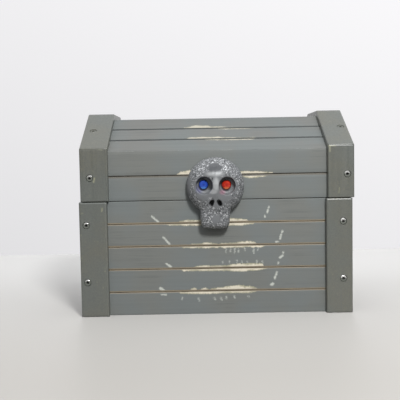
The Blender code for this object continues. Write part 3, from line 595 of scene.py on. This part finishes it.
# Chips on the front straps, then pale lines on the upper arrises of the lid's left one and the body's
# right one, partly wear and partly a painted highlight: x, z, x, z and half a width.
ARRIS_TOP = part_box("lid_strap_front_left")[1].z * MILLIMETRES - BELOW_ARRIS
STRAP_CHIPS = (
    (-125.4, 120.2, -125.8, 117.2, 1.0), (-148.6, 114.8, -146.4, 115.5, 0.6),
    (-149.4, 91.6, -149.2, 91.2, 0.7), (-149.4, 66.4, -149.2, 66.0, 0.7),
    (-133.2, 39.4, -133.0, 39.0, 0.7), (-126.8, 34.0, -126.4, 32.0, 0.5),
    (-124.4, 51.0, -123.6, 50.8, 0.7), (-133.0, 153.4, -133.8, 149.4, 1.2),
    (-134.2, 162.0, -134.0, 160.0, 0.3), (123.0, 184.4, 130.0, 184.7, 1.1),
    (124.2, 183.4, 124.4, 178.4, 1.0), (134.4, 138.6, 133.9, 133.0, 0.6),
)
ARRIS_WEAR_AND_HIGHLIGHTS = (
    (-147.0, ARRIS_TOP, -124.0, ARRIS_TOP + 0.1, 0.5),
    (-128.0, ARRIS_TOP - 0.4, -123.8, ARRIS_TOP - 1.4, 0.7), (124.0, 126.4, 144.0, 126.5, 0.1),
)

# Satin oil paint, browner than the slats' and nearly smooth. An IOR above paint's own gives it the
# soft sheen that it has in the lamp's light.
strap_paint = brushed_paint("satin_paint_on_straps", "Z", STRAP_GREY, GREY_GROOVE_PAINTED_SHADE, SATIN, SATIN_INDEX)


def lay_strap(node, start, end, outward_start, outward_end):
    """One batten, its outer arrises rounded, and finely divided where it is marked."""
    low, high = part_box("body_strap_front_left")
    strap, *_, rise, is_outer = lay_board(
        node, high.y - low.y, start, end, outward_start, outward_end)
    length = (end - start).length
    low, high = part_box(node)
    marked = "_strap_front_left" in node or "_strap_front_right" in node
    round_edges(strap, STRAP_ROUND, ROUND_STEPS, is_outer)
    rows, columns = STRAP_ROW_CUTS, STRAP_COLUMN_CUTS
    if marked:
        rows, columns = MARKED_STRAP_ROW_CUTS, MARKED_STRAP_COLUMN_CUTS
    divide(strap, rows, lambda edge: (
        not is_along(edge, 0) and abs(rise(edge.verts[0].co) - rise(edge.verts[1].co)) > length / 2))
    divide(strap, columns, lambda edge: (
        is_along(edge, 0) and edge.calc_length() > (high.x - low.x) / 2))
    if marked:
        write_marks(strap, (STRAP_CHIPS, STRONG), (ARRIS_WEAR_AND_HIGHLIGHTS, FAINT))
    smooth_shade(strap)
    fit(strap, node.split("_")[0], "strap_paint", strap_paint, node)
    return strap


straps = {}
strap_corners = lid_corners("lid_strap_front_left", "lid_strap_front_left", "lid_strap_top_left")
for side in ("left", "right"):
    for wall, facing in (("front", -1), ("back", 1)):
        node = f"body_strap_{wall}_{side}"
        low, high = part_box(f"body_strap_front_{side}")
        ends = [Vector((low.y, low.z)), Vector((low.y, high.z))]
        if facing > 0:
            ends = [Vector((-point.x, point.y)) for point in reversed(ends)]
        straps[node] = lay_strap(node, *ends, ends[0] - ends[1], ends[1] - ends[0])
    for index, face in enumerate(LID_FACES):
        node = f"lid_strap_{face}_{side}"
        straps[node] = lay_strap(node, *strap_corners[index:index + 2], *end_planes(strap_corners, index))


# Screws. Zinc-plated countersunk screws with a cross recess, two through each wall strap of the
# body and one through each strap of the lid. They are driven a little below the face; those on
# the slopes and the top were painted over.
SCREW_SIDES = 32
SCREW_PROFILE = (
    (0.0030, -0.0003), (0.0033, -0.0005), (0.0034, -0.0008), (0.0017, -0.0025), (0.0017, -0.0220),
    (0.0002, -0.0250),
)
COUNTERSINK = (
    (0.0040, 0.0020), (0.0040, -0.0002), (0.0037, -0.0009), (0.0019, -0.0030), (0.0019, -0.0080),
)
SCREW_TURN = 2.4
METAL_CREASE = 30

# A driver's cross: its reach, slot and depth, what is left of them at its foot, and its middle.
CROSS = (0.0040, 0.0012, 0.0020)
CROSS_FOOT_SHARE = (0.4, 0.6, 1)
CROSS_HEART = ((0.0003, -0.0028), (0.0014, -0.0020), (0.0018, 0.0010))

# Where the plating was scraped bright, which carries a painted highlight too: least on the chest's left, and
# more towards each one's top.
SCRAPED_RING = 0.0019
SCRAPED_AND_LIT_LEFT = 0.15
SCRAPED_AND_LIT_RIGHT = 0.3
SCRAPED_AND_LIT_UPWARDS = 0.4
SCRAPE = 1.429
# Below this depth the recess is painted near black, as painted shade.
PAINTED_SHADE_DEPTH = 0.0006


def add_turned(name, profile, sides):
    """Turns a profile of (radius, height) pairs about Z, from its first face to its last."""
    radius, height = profile[0]
    bpy.ops.mesh.primitive_circle_add(
        vertices=sides, radius=radius, fill_type="NGON", location=(0, 0, height))
    turned = bpy.context.object
    turned.name = name
    settle(turned)
    choose(turned, "FACE", lambda face: True)
    for next_radius, next_height in profile[1:]:
        bpy.ops.mesh.extrude_region_move(TRANSFORM_OT_translate={"value": (0, 0, next_height - height)})
        share = next_radius / radius
        bpy.ops.transform.resize(value=(share, share, 1), center_override=(0, 0, next_height))
        radius, height = next_radius, next_height
    bpy.ops.mesh.select_all(action="SELECT")
    bpy.ops.mesh.normals_make_consistent(inside=False)
    close_edit()
    return turned


def carve(piece, operation, cutter):
    """Cuts a piece with another solid, or joins it on, and removes the other."""
    pick_only(piece)
    step = piece.modifiers.new("carve", "BOOLEAN")
    step.operation = operation
    step.object = cutter
    bpy.ops.object.modifier_apply(modifier=step.name)
    bpy.data.objects.remove(cutter)


def add_copy(pattern, name, place):
    """A copy of a piece with its own mesh, moved to its place."""
    made = bpy.data.objects.new(name, pattern.data.copy())
    bpy.context.collection.objects.link(made)
    made.data.transform(place)
    return made


def outward_place(spot, outward):
    """A place whose local Z points along outward, a direction in (Y, Z)."""
    turn = Vector((0, *outward)).to_track_quat("Z", "X").to_matrix().to_4x4()
    return Matrix.Translation(spot) @ turn


def add_pattern_screw(name, profile, sides, cross, heart):
    """A screw to copy, with the tapered cross that takes the driver and the cone in its middle."""
    screw = add_turned(name, profile, sides)
    reach, slot, depth = cross
    for turn in (0, 90):
        wing = add_block("cross_wing", (0, 0, 0), (reach, slot, 2 * depth))
        choose(wing, "FACE", lambda face: face.normal.z < -0.9)
        bpy.ops.transform.resize(value=CROSS_FOOT_SHARE, center_override=(0, 0, -depth))
        close_edit()
        wing.rotation_euler.z = math.radians(turn)
        settle(wing)
        carve(screw, "DIFFERENCE", wing)
    carve(screw, "DIFFERENCE", add_turned("heart", heart, SCREW_SIDES))
    smooth_shade(screw, METAL_CREASE)
    return screw


pattern_screw = add_pattern_screw("pattern_screw", SCREW_PROFILE, SCREW_SIDES, CROSS, CROSS_HEART)
countersink = add_turned("countersink", COUNTERSINK, SCREW_SIDES)

# Zinc-plated steel, painted over with the straps and scraped bright again by the driver, most along
# the upper rim, where its near-white is also a painted highlight; the recess is painted near black as
# painted shade.
zinc, tree, shader, place = start_material("zinc_plated_steel_screws", {})
scrape = add_node(tree, "TexNoise", {}, {"Vector": place, "Scale": MILLIMETRES / SCRAPE, "Detail": 3})
scraped_and_highlight, painted_recess_shade = [
    add_node(tree, "Attribute", {"attribute_name": kept}, {}, "Fac") for kept in ("scraped_and_highlight", "painted_recess_shade")]
bright = add_node(tree, "Math", ADD, {0: scraped_and_highlight, 1: scrape})
bright = add_node(tree, "MapRange", SOFT, {0: bright, 1: 0.9, 2: 1.1})
colour = add_node(tree, "Mix", COLOUR, {0: bright, 6: linear("#6a6d66"), 7: linear("#f4f4f2")}, 2)
colour = add_node(tree, "Mix", COLOUR, {0: painted_recess_shade, 6: colour, 7: linear("#1b1b19")}, 2)
tree.links.new(colour, shader["Base Color"])
metal = add_node(tree, "Math", SUBTRACT, {0: bright, 1: painted_recess_shade})
metal = add_node(tree, "Math", MAXIMUM, {0: metal, 1: 0.0})
tree.links.new(metal, shader["Metallic"])
rough = add_node(tree, "MapRange", {}, {0: metal, 3: 0.55, 4: 0.32})
tree.links.new(rough, shader["Roughness"])


def screw_spots():
    """Each strap's screws: (strap, name, place, direction out, node that it stands for)."""
    for side in ("left", "right"):
        for level in ("upper", "lower"):
            node = f"body_screw_front_{side}_{level}"
            low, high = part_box(node)
            middle = (low + high) / 2
            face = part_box(f"body_strap_front_{side}")[0].y
            yield f"body_strap_front_{side}", node, (middle.x, face, middle.z), (-1, 0), node
            back = node.replace("front", "back")
            yield f"body_strap_back_{side}", back, (middle.x, -face, middle.z), (1, 0), None
        low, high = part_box(f"lid_screw_front_{side}")
        middle = (low + high) / 2
        for index, face in enumerate(LID_FACES):
            start, end = strap_corners[index:index + 2]
            along = (end - start).normalized()
            spot = (start + end) / 2
            if face in ("front", "back"):
                spot = Vector((start.x, middle.z))
            node = f"lid_screw_{face}_{side}"
            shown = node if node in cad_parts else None
            yield f"lid_strap_{face}_{side}", node, (middle.x, *spot), (-along.y, along.x), shown


for number, (strap, name, spot, outward, node) in enumerate(screw_spots()):
    place = outward_place(spot, outward)
    hole = add_copy(countersink, name + "_hole", place)
    carve(straps[strap], "DIFFERENCE", hole)
    turn = Matrix.Rotation(number * SCREW_TURN, 4, "Z")
    screw = add_copy(pattern_screw, name + "_screw", place @ turn)
    painted = "slope" in name or "top" in name
    least = SCRAPED_AND_LIT_RIGHT if "right" in name else SCRAPED_AND_LIT_LEFT
    into = place.inverted()
    # Scraped bare metal with a painted highlight: more on the chest's right and towards each screw's top.
    write_value(screw, "scraped_and_highlight", lambda point: (
        min(1, (into @ point).xy.length / SCRAPED_RING)
        * (least + SCRAPED_AND_LIT_UPWARDS * (point.z - spot[2]) / SCRAPED_RING)))
    # Painted shade in the deep middle of the recess.
    write_value(screw, "painted_recess_shade", lambda point: float(
        (into @ point).z < -PAINTED_SHADE_DEPTH and (into @ point).xy.length < SCRAPED_RING))
    fit(screw, name.split("_")[0], "strap_paint" if painted else "screw_steel",
        strap_paint if painted else zinc, *([node] if node else []))
for pattern in (pattern_screw, countersink):
    bpy.data.objects.remove(pattern)


# Hinges. Two small brass-plated butt hinges behind the back straps carry the lid. Each leaf is
# pressed from sheet and rolled round the pin in knuckles that interleave with the other leaf's;
# the pin is peened, and two small cross-driven screws hold each leaf.
LEAF_THICKNESS = 0.0011
LEAF_CORNER = 0.0020
KNUCKLES = 5
KNUCKLE_GAP = 0.0003
BARREL_SIDES = 32
HOLE_REACH = 0.02
PIN_FIT_SHARE = 0.97
PEENED_SHARE = 0.6
PEEN = 0.0003
HINGE_SCREW_PROFILE = (
    (0.0009, 0.0005), (0.0015, 0.0004), (0.0019, 0.0001), (0.0019, -0.0004), (0.0009, -0.0008),
    (0.0009, -0.0090), (0.0001, -0.0100),
)
HINGE_SCREW_SIDES = 20
HINGE_CROSS = (0.0022, 0.0005, 0.0007)
HINGE_CROSS_HEART = ((0.0002, -0.0006), (0.0005, 0.0008))
HINGE_SCREW_SPACING = 0.0150
HINGE_SCREW_RISE = 0.0086
HINGE_SCREW_TURNS = 40
TARNISH = 3.846

# Brass-plated steel: warm yellow metal, dulled brown and rougher in soft patches of tarnish.
brass, tree, shader, place = start_material("brass_plated_steel", {"Metallic": 1.0})
tarnish = add_node(tree, "TexNoise", {}, {"Vector": place, "Scale": MILLIMETRES / TARNISH, "Detail": 4})
colour = lay_over(tree, linear("#bda46c"), linear("#86704a"), tarnish, 0.4, 0.7)
tree.links.new(colour, shader["Base Color"])
rough = add_node(tree, "MapRange", SOFT, {0: tarnish, 1: 0.4, 2: 0.7, 3: 0.28, 4: 0.45})
tree.links.new(rough, shader["Roughness"])


def lay_across(turned, place):
    """Lays a turned piece along X, with its middle at this place."""
    turned.rotation_euler.y = math.radians(90)
    turned.location = place
    settle(turned)
    return turned


pattern_screw = add_pattern_screw(
    "pattern_hinge_screw", HINGE_SCREW_PROFILE, HINGE_SCREW_SIDES, HINGE_CROSS, HINGE_CROSS_HEART)
for side in ("left", "right"):
    low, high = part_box(f"hinge_{side}_pin")
    axis = (low + high) / 2
    leaf_low, leaf_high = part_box(f"hinge_{side}_body_leaf")
    barrel = leaf_high.y - axis.y
    bore = (high.z - low.z) / 2
    pitch = (leaf_high.x - leaf_low.x + KNUCKLE_GAP) / KNUCKLES
    for part, sign, first in (("body", -1, 0), ("lid", 1, 1)):
        node = f"hinge_{side}_{part}_leaf"
        reach = axis.z + sign * (barrel + KNUCKLE_GAP)
        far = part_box(node)[0].z if sign < 0 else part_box(node)[1].z
        inner = axis.y - barrel
        middle = Vector((axis.x, inner + LEAF_THICKNESS / 2, (reach + far) / 2))
        size = (leaf_high.x - leaf_low.x, LEAF_THICKNESS, abs(far - reach))
        leaf = add_block(node + "_plate", middle, size)
        round_edges(leaf, LEAF_CORNER, 5, lambda edge: is_along(edge, 1) and all(
            abs(point.co.z - far) < HAIR for point in edge.verts))
        for number in range(first, KNUCKLES, 2):
            start = leaf_low.x + number * pitch
            length = pitch - KNUCKLE_GAP
            middle = (start + length / 2, inner + LEAF_THICKNESS / 2, (axis.z + reach) / 2)
            tab = add_block("tab", middle, (length, LEAF_THICKNESS, abs(reach - axis.z) + HAIR * 10))
            carve(leaf, "UNION", tab)
            roll = add_turned("roll", ((barrel, -length / 2), (barrel, length / 2)), BARREL_SIDES)
            carve(leaf, "UNION", lay_across(roll, (start + length / 2, axis.y, axis.z)))
        hole = add_turned("hole", ((bore, -HOLE_REACH), (bore, HOLE_REACH)), BARREL_SIDES)
        carve(leaf, "DIFFERENCE", lay_across(hole, axis))
        smooth_shade(leaf, METAL_CREASE)
        fit(leaf, part, "hinge_brass", brass, node)
        for step in (-1, 1):
            x = axis.x + step * HINGE_SCREW_SPACING / 2
            spot = (x, inner + LEAF_THICKNESS, axis.z + sign * HINGE_SCREW_RISE)
            place = outward_place(spot, (1, 0)) @ Matrix.Rotation(x * HINGE_SCREW_TURNS, 4, "Z")
            end = "left" if step < 0 else "right"
            screw = add_copy(pattern_screw, f"hinge_{side}_{part}_screw_{end}", place)
            fit(screw, part, "hinge_brass", brass)
    half = (high.x - low.x) / 2
    outline = [(bore * PEENED_SHARE, half), (bore * PIN_FIT_SHARE, half - PEEN)]
    profile = [(radius, -place) for radius, place in outline] + outline[::-1]
    pin = lay_across(add_turned(f"hinge_{side}_pin_peened", profile, BARREL_SIDES), axis)
    smooth_shade(pin, METAL_CREASE)
    fit(pin, "body", "hinge_brass", brass, f"hinge_{side}_pin")
bpy.data.objects.remove(pattern_screw)


# Skull. A pull cast in resin and painted pewter, hollow-eyed, with a smooth brow and nose and a
# crown, cheeks and jaw rolled in silver glitter. It is glued to the lid and hangs over the seam.
SKULL_GRAIN = 0.00045
SKULL_SOFTENING = 3
SKULL_CREASE = 60
FLAKE = 1.0
FLAKE_RELIEF = 0.0003
DUST = 2.381

# The lumps under the glitter: how high they are, how many go to a metre, and how soon they start.
LUMP_HEIGHT = 0.00028
LUMPS = 900
FINE_LUMPS = 1900
FINE_LUMP_SHARE = 0.5
LUMPS_START = 3

# Patches in millimetres across and up from between the stones, each with its middle and its half
# size: left smooth; given a painted highlight; given painted shade; given a stone's coloured light,
# painted; and painted dark in the nostrils as painted shade. The tooth grooves have one size.
SMOOTH_PATCHES = (
    (0, 18.5, 8.5, 5.2), (-1, 12, 13.0, 4.2), (1.2, 1, 4.6, 10), (0.5, -9, 9, 5),
    (-13, -11, 7.5, 6.5), (10, -13, 8.5, 4.5), (1.5, -19, 9, 6), (0.5, -37.5, 5.2, 4.8),
    (-29.5, 0, 3.5, 15), (-12.5, 0.5, 11, 10.5), (12.5, 0.5, 10.5, 10.5),
)
PAINTED_HIGHLIGHT_PATCHES = ((0, 12, 13, 3.8), (0.8, 1, 4.4, 11), (-2.2, -7, 6, 3.5))
PAINTED_SHADE_PATCHES = ((0, 18.5, 11, 6.5),)
BLUE_STONE_PAINTED_LIGHT = ((-17, -4.5, 6.5, 6),)
RED_STONE_PAINTED_LIGHT = ((8.0, -8.0, 5.0, 3.6),)
NOSTRIL_PAINTED_SHADE = ((-3.8, -19.6, 2.6, 4.0), (5.0, -19.8, 2.6, 4.0))
TOOTH_GROOVES = ((-6.5, -36.5), (4.0, -37.5), (8.6, -37))
TOOTH_GROOVE = (0.5, 5.0)
TOOTH_GROOVE_DEPTH = 0.0005


def add_skull():
    """The solid's form, remeshed evenly and a little softened."""
    made = add_copy(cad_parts["skull"], "skull_casting", Matrix())
    choose(made, "FACE", lambda face: True)
    bpy.ops.mesh.remove_doubles(threshold=HAIR / 10)
    close_edit()
    even = made.modifiers.new("even", "REMESH")
    even.mode = "VOXEL"
    even.voxel_size = SKULL_GRAIN
    bpy.ops.object.modifier_apply(modifier=even.name)
    soft = made.modifiers.new("soft", "SMOOTH")
    soft.factor = 0.5
    soft.iterations = SKULL_SOFTENING
    bpy.ops.object.modifier_apply(modifier=soft.name)
    return made


blue_low, blue_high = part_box("eye_stone_blue")
red_low, red_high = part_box("eye_stone_red")
between = (blue_low + blue_high + red_low + red_high) / 4


def within(place, patches):
    """How far a place on the skull lies inside the nearest patch: 1 in its middle, 0 at its edge."""
    across = (place.x - between.x) * MILLIMETRES
    up = (place.z - between.z) * MILLIMETRES
    return max(1 - math.hypot((across - x) / half_x, (up - z) / half_z)
               for x, z, half_x, half_z in patches)


skull = add_skull()
glued_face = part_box("skull")[1].y
for point in skull.data.vertices:
    if glued_face - point.co.y > SKULL_GRAIN:
        rolled_share = min(1, max(0, -within(point.co, SMOOTH_PATCHES) * LUMPS_START))
        lump = abs(noise.noise(point.co * LUMPS))
        lump += FINE_LUMP_SHARE * abs(noise.noise(point.co * FINE_LUMPS))
        point.co.y += LUMP_HEIGHT * lump * rolled_share
        for middle in TOOTH_GROOVES:
            point.co.y += TOOTH_GROOVE_DEPTH * max(0, within(point.co, ((*middle, *TOOTH_GROOVE),)))
write_value(skull, "smooth", lambda place: within(place, SMOOTH_PATCHES))
# Where the resin gets a painted highlight (above 0) and painted shade (below 0).
write_value(skull, "painted_light_and_shade", lambda place: (
    max(0, within(place, PAINTED_HIGHLIGHT_PATCHES)) - max(0, within(place, PAINTED_SHADE_PATCHES))))
for name, patches in (("blue_cast", BLUE_STONE_PAINTED_LIGHT), ("red_cast", RED_STONE_PAINTED_LIGHT), ("hollow", NOSTRIL_PAINTED_SHADE)):
    write_value(skull, name, lambda place: max(0, within(place, patches)))
smooth_shade(skull, SKULL_CREASE)

# Resin under pewter paint, rolled in coarse silver glitter. Each flake gets its own tilt from the bump
# and is metal where it is bright, and its colour is painted: white on some flakes as a painted glint,
# dark on others as painted shade. Flakes are drawn 1 mm wide to show.
pewter, tree, shader, place = start_material("glitter_on_cast_resin", {"Specular IOR Level": 0.5})
flakes = add_node(tree, "TexVoronoi", {}, {"Vector": place, "Scale": MILLIMETRES / FLAKE}, "Color")
flake = add_node(tree, "SeparateColor", {}, {0: flakes})
dust = add_node(tree, "TexNoise", {}, {"Vector": place, "Scale": MILLIMETRES / DUST, "Detail": 3})
smooth, painted_light_and_shade, hollow = [
    add_node(tree, "Attribute", {"attribute_name": kept}, {}, "Fac") for kept in ("smooth", "painted_light_and_shade", "hollow")]
rolled = add_node(tree, "Math", MULTIPLY_ADD, {0: dust, 1: 1.2, 2: -0.6})
rolled = add_node(tree, "Math", SUBTRACT, {0: rolled, 1: smooth})
rolled = add_node(tree, "MapRange", SOFT, {0: rolled, 1: -0.12, 2: 0.1})
# Painted light on the resin: lighter on the brow and nose as a painted highlight, darker on the forehead as
# painted shade.
resin = lay_over(tree, linear("#757779"), linear("#a4a6a7"), painted_light_and_shade, 0.0, 0.6)
resin = lay_over(tree, resin, linear("#4f5154"), painted_light_and_shade, 0.0, -0.4)
# The stones' coloured light on the paint below the sockets, painted: violet from the blue stone, pink from
# the red one.
for name, painted_light_colour, share in (("blue_cast", "#5f628c", 0.6), ("red_cast", "#b4708a", 0.4)):
    stone_light = add_node(tree, "Attribute", {"attribute_name": name}, {}, "Fac")
    resin = lay_over(tree, resin, linear(painted_light_colour), stone_light, 0.0, 0.8, share)
# Painted glints and shade on the flakes: white on the brightest, dark on the dimmest.
bright = add_node(tree, "MapRange", SOFT, {0: flake, 1: 0.7, 2: 0.95})
glitter_with_painted_glints = add_node(tree, "Mix", COLOUR, {0: bright, 6: linear("#747678"), 7: linear("#c8cacc")}, 2)
glitter_with_painted_glints = lay_over(tree, glitter_with_painted_glints, linear("#4a4c4e"), flake, 0.3, 0.1)
colour = add_node(tree, "Mix", COLOUR, {0: rolled, 6: resin, 7: glitter_with_painted_glints}, 2)
# Painted shade: the nostrils are painted nearly black.
colour = lay_over(tree, colour, linear("#1d1e1e"), hollow, 0.0, 0.35)
tree.links.new(colour, shader["Base Color"])
metal = add_node(tree, "Math", MULTIPLY, {0: rolled, 1: bright})
metal = add_node(tree, "MapRange", {}, {0: metal, 3: 0.1, 4: 0.55})
tree.links.new(metal, shader["Metallic"])
rough = add_node(tree, "MapRange", {}, {0: rolled, 3: 0.52, 4: 0.4})
tree.links.new(rough, shader["Roughness"])
height = add_node(tree, "Math", MULTIPLY, {0: flake, 1: rolled})
bump = add_node(tree, "Bump", {}, {"Strength": 0.5, "Distance": FLAKE_RELIEF, "Height": height})
tree.links.new(bump, shader["Normal"])
fit(skull, "lid", "skull_silver", pewter, "skull")


# Eye stones. Two round flat-backed acrylic stones, faceted and foiled behind, are glued in the
# sockets, a blue one and a red one.
STONE_SIDES = 12
STONE_TABLE_SHARE = 0.52
STONE_CROWN_SHARE = 0.84
STONE_GIRDLE_SHARE = 0.30
STONE_CROWN_RISE = 0.72


def cut_stone(node):
    """Raises a crown of two rows of facets, half a step apart, to a small table."""
    low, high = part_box(node)
    middle = (low + high) / 2
    radius = (high.z - low.z) / 2
    height = high.y - low.y
    bpy.ops.mesh.primitive_circle_add(
        vertices=STONE_SIDES, radius=radius, fill_type="NGON",
        location=(middle.x, high.y, middle.z), rotation=(math.pi / 2, 0, 0))
    stone = bpy.context.object
    stone.name = node + "_cut"
    settle(stone)
    choose(stone, "FACE", lambda face: True)
    girdle, crown = STONE_GIRDLE_SHARE * height, STONE_CROWN_RISE * height
    steps = (
        (girdle, 1, False), (crown - girdle, STONE_CROWN_SHARE, True),
        (height - crown, STONE_TABLE_SHARE / STONE_CROWN_SHARE, True),
    )
    face = high.y
    for rise, share, turns in steps:
        face -= rise
        bpy.ops.mesh.extrude_region_move(TRANSFORM_OT_translate={"value": (0, -rise, 0)})
        centre = (middle.x, face, middle.z)
        bpy.ops.transform.resize(value=(share, 1, share), center_override=centre)
        if turns:
            bpy.ops.transform.rotate(value=math.pi / STONE_SIDES, orient_axis="Y", center_override=centre)
    bpy.ops.mesh.poke()
    bpy.ops.mesh.select_all(action="SELECT")
    bpy.ops.mesh.quads_convert_to_tris(quad_method="SHORTEST_DIAGONAL", ngon_method="BEAUTY")
    bpy.ops.mesh.normals_make_consistent(inside=False)
    close_edit()
    return stone, middle, radius


# Clear acrylic dyed through, over silver foil, under a hard gloss. Its colour paints the foil's
# reflection: deep in the middle and at the rim, lighter in a ring, and brightest low in the stone.
for node, slot, deep, body, painted_light_colour in (
    ("eye_stone_blue", "stone_blue", "#122060", "#2d55c4", "#66a6fa"),
    ("eye_stone_red", "stone_red", "#821008", "#cc301a", "#ff9050"),
):
    stone, middle, radius = cut_stone(node)
    write_value(stone, "low", lambda place: (middle.z - place.z) / radius)
    write_value(stone, "out", lambda place: math.hypot(place.x - middle.x, place.z - middle.z) / radius)
    acrylic, tree, shader, place = start_material(slot.replace("stone", "acrylic"), {
        "Roughness": 0.08, "Coat Weight": 0.6, "Coat Roughness": 0.03, "Metallic": 0.25})
    out, low = [
        add_node(tree, "Attribute", {"attribute_name": kept}, {}, "Fac") for kept in ("out", "low")]
    # Painted reflection of the foil: a lighter ring between a deep middle and rim, brightest low in the
    # stone.
    ring = add_node(tree, "MapRange", SOFT, {0: out, 1: -0.25, 2: 0.4})
    rim = add_node(tree, "MapRange", SOFT, {0: out, 1: 1.0, 2: 0.7})
    ring = add_node(tree, "Math", MULTIPLY, {0: ring, 1: rim})
    colour = add_node(tree, "Mix", COLOUR, {0: ring, 6: linear(deep), 7: linear(body)}, 2)
    low = add_node(tree, "Math", MULTIPLY, {0: low, 1: ring})
    colour = lay_over(tree, colour, linear(painted_light_colour), low, 0.3, 0.7)
    tree.links.new(colour, shader["Base Color"])
    fit(stone, "lid", slot, acrylic, node)


# Floor and backdrop. A pale painted table top stands before a far white card. Both look pale to
# the camera and throw back little light, so that the chest is lit from above. The top is painted
# darker towards the front, as painted shade, and the card's glow grows towards the top and the
# right, as painted light.
FLOOR_BACK = 0.38
FLOOR_SIZE = (6, 4)
CARD_PLACE = (0, 3.0, 1.0)
CARD_SIZE = (12, 6)
CARD_GLOW = 0.735
CARD_PAINTED_LIGHT_SLOPE = (0.038, 0.0, 0.078)


def add_sheet(name, place, size, turn=0.0):
    """A flat sheet turned about X, which isn't part of the chest."""
    bpy.ops.mesh.primitive_plane_add(size=1, location=place, rotation=(turn, 0, 0))
    sheet = bpy.context.object
    sheet.name = name
    sheet.scale = (*size, 1)
    settle(sheet)
    return sheet


def seen_by(tree, *rays):
    """1 for what these rays see, and 0 for what only lights the chest."""
    seen = add_node(tree, "LightPath", {}, {}, "Is Camera Ray")
    for ray in rays:
        other = add_node(tree, "LightPath", {}, {}, ray)
        seen = add_node(tree, "Math", MAXIMUM, {0: seen, 1: other})
    return seen


floor = add_sheet("floor", (0, FLOOR_BACK - FLOOR_SIZE[1] / 2, 0), FLOOR_SIZE)
board, tree, shader, place = start_material("painted_board", {"Roughness": 0.5})
seen = seen_by(tree, "Is Glossy Ray", "Is Transmission Ray")
# Painted shade: the table top darkens towards the front.
back = add_node(tree, "SeparateXYZ", {}, {0: place}, "Y")
shown = lay_over(tree, linear("#b5b2ad"), linear("#e1e0de"), back, -0.4, 0.3)
colour = add_node(tree, "Mix", COLOUR, {0: seen, 6: linear("#62615f"), 7: shown}, 2)
tree.links.new(colour, shader["Base Color"])
floor.data.materials.append(board)

wall = add_sheet("backdrop", CARD_PLACE, CARD_SIZE, math.pi / 2)
card, tree, shader, place = start_material("white_card", {
    "Base Color": linear("#8c8c8c"), "Roughness": 0.9, "Emission Color": linear("#fefdff")})
seen = seen_by(tree, "Is Glossy Ray", "Is Transmission Ray")
# Painted light: the card glows brighter towards the top and the right.
glow = add_node(tree, "VectorMath", {"operation": "DOT_PRODUCT"}, {0: place, 1: CARD_PAINTED_LIGHT_SLOPE}, "Value")
glow = add_node(tree, "Math", ADD, {0: glow, 1: CARD_GLOW})
glow = add_node(tree, "Math", MULTIPLY, {0: glow, 1: seen})
tree.links.new(glow, shader["Emission Strength"])
wall.data.materials.append(card)


# Light. A soft lamp stands above the camera and a little to its right. A wide weak one behind the
# chest leaves no glint, and the room around is plain, brighter above than below.
ROOM_BELOW = 0.1
ROOM_ABOVE = 0.94
ROOM_THROUGH_GLASS = 0.85
LAMPS_AIM = (0, 0, 0.1)
KEY_PLACE = (0.24, -0.98, 0.9)
KEY_SIZE = 0.2
KEY_POWER = 12.8
FILL_PLACE = (0, 1.7, 0.7)
FILL_SIZE = 1.0
FILL_POWER = 14
world = bpy.data.worlds.new("room")
bpy.context.scene.world = world
world.use_nodes = True
tree = world.node_tree
upward = add_node(tree, "TexCoord", {}, {}, "Generated")
upward = add_node(tree, "SeparateXYZ", {}, {0: upward}, "Z")
strength = {0: upward, 1: -0.2, 2: 0.9, 3: ROOM_BELOW, 4: ROOM_ABOVE}
strength = add_node(tree, "MapRange", SOFT, strength)
tree.nodes["Background"].inputs["Color"].default_value = linear("#f4f5f7")
seen = seen_by(tree, "Is Transmission Ray")
strength = add_node(tree, "Mix", {}, {0: seen, 2: strength, 3: ROOM_THROUGH_GLASS})
tree.links.new(strength, tree.nodes["Background"].inputs["Strength"])


def add_lamp(name, place, size, power, glints=True):
    """A square lamp that shines on the chest."""
    bpy.ops.object.light_add(type="AREA", location=place)
    lamp = bpy.context.object
    lamp.name = name
    lamp.data.size = size
    lamp.data.energy = power
    lamp.visible_glossy = glints
    lamp.rotation_euler = (Vector(LAMPS_AIM) - Vector(place)).to_track_quat("-Z", "Y").to_euler()


add_lamp("key", KEY_PLACE, KEY_SIZE, KEY_POWER)
add_lamp("back_fill", FILL_PLACE, FILL_SIZE, FILL_POWER, glints=False)


# Camera. It stands a little left of the middle, as high as the lid, and looks slightly down, with
# the small roll that the photo has.
CAMERA_PLACE = (-0.0181, -0.8276, 0.1759)
CAMERA_DOWN = 3.81
CAMERA_ROLL = -1.04
CAMERA_LENS = 59.67
CAMERA_SENSOR = 36
bpy.ops.object.camera_add(location=CAMERA_PLACE)
camera = bpy.context.object
look = Matrix.Rotation(math.radians(90 - CAMERA_DOWN), 4, "X")
camera.rotation_euler = (look @ Matrix.Rotation(math.radians(CAMERA_ROLL), 4, "Z")).to_euler()
camera.data.lens = CAMERA_LENS
camera.data.sensor_width = CAMERA_SENSOR
bpy.context.scene.camera = camera
bpy.context.scene.view_settings.view_transform = "Standard"
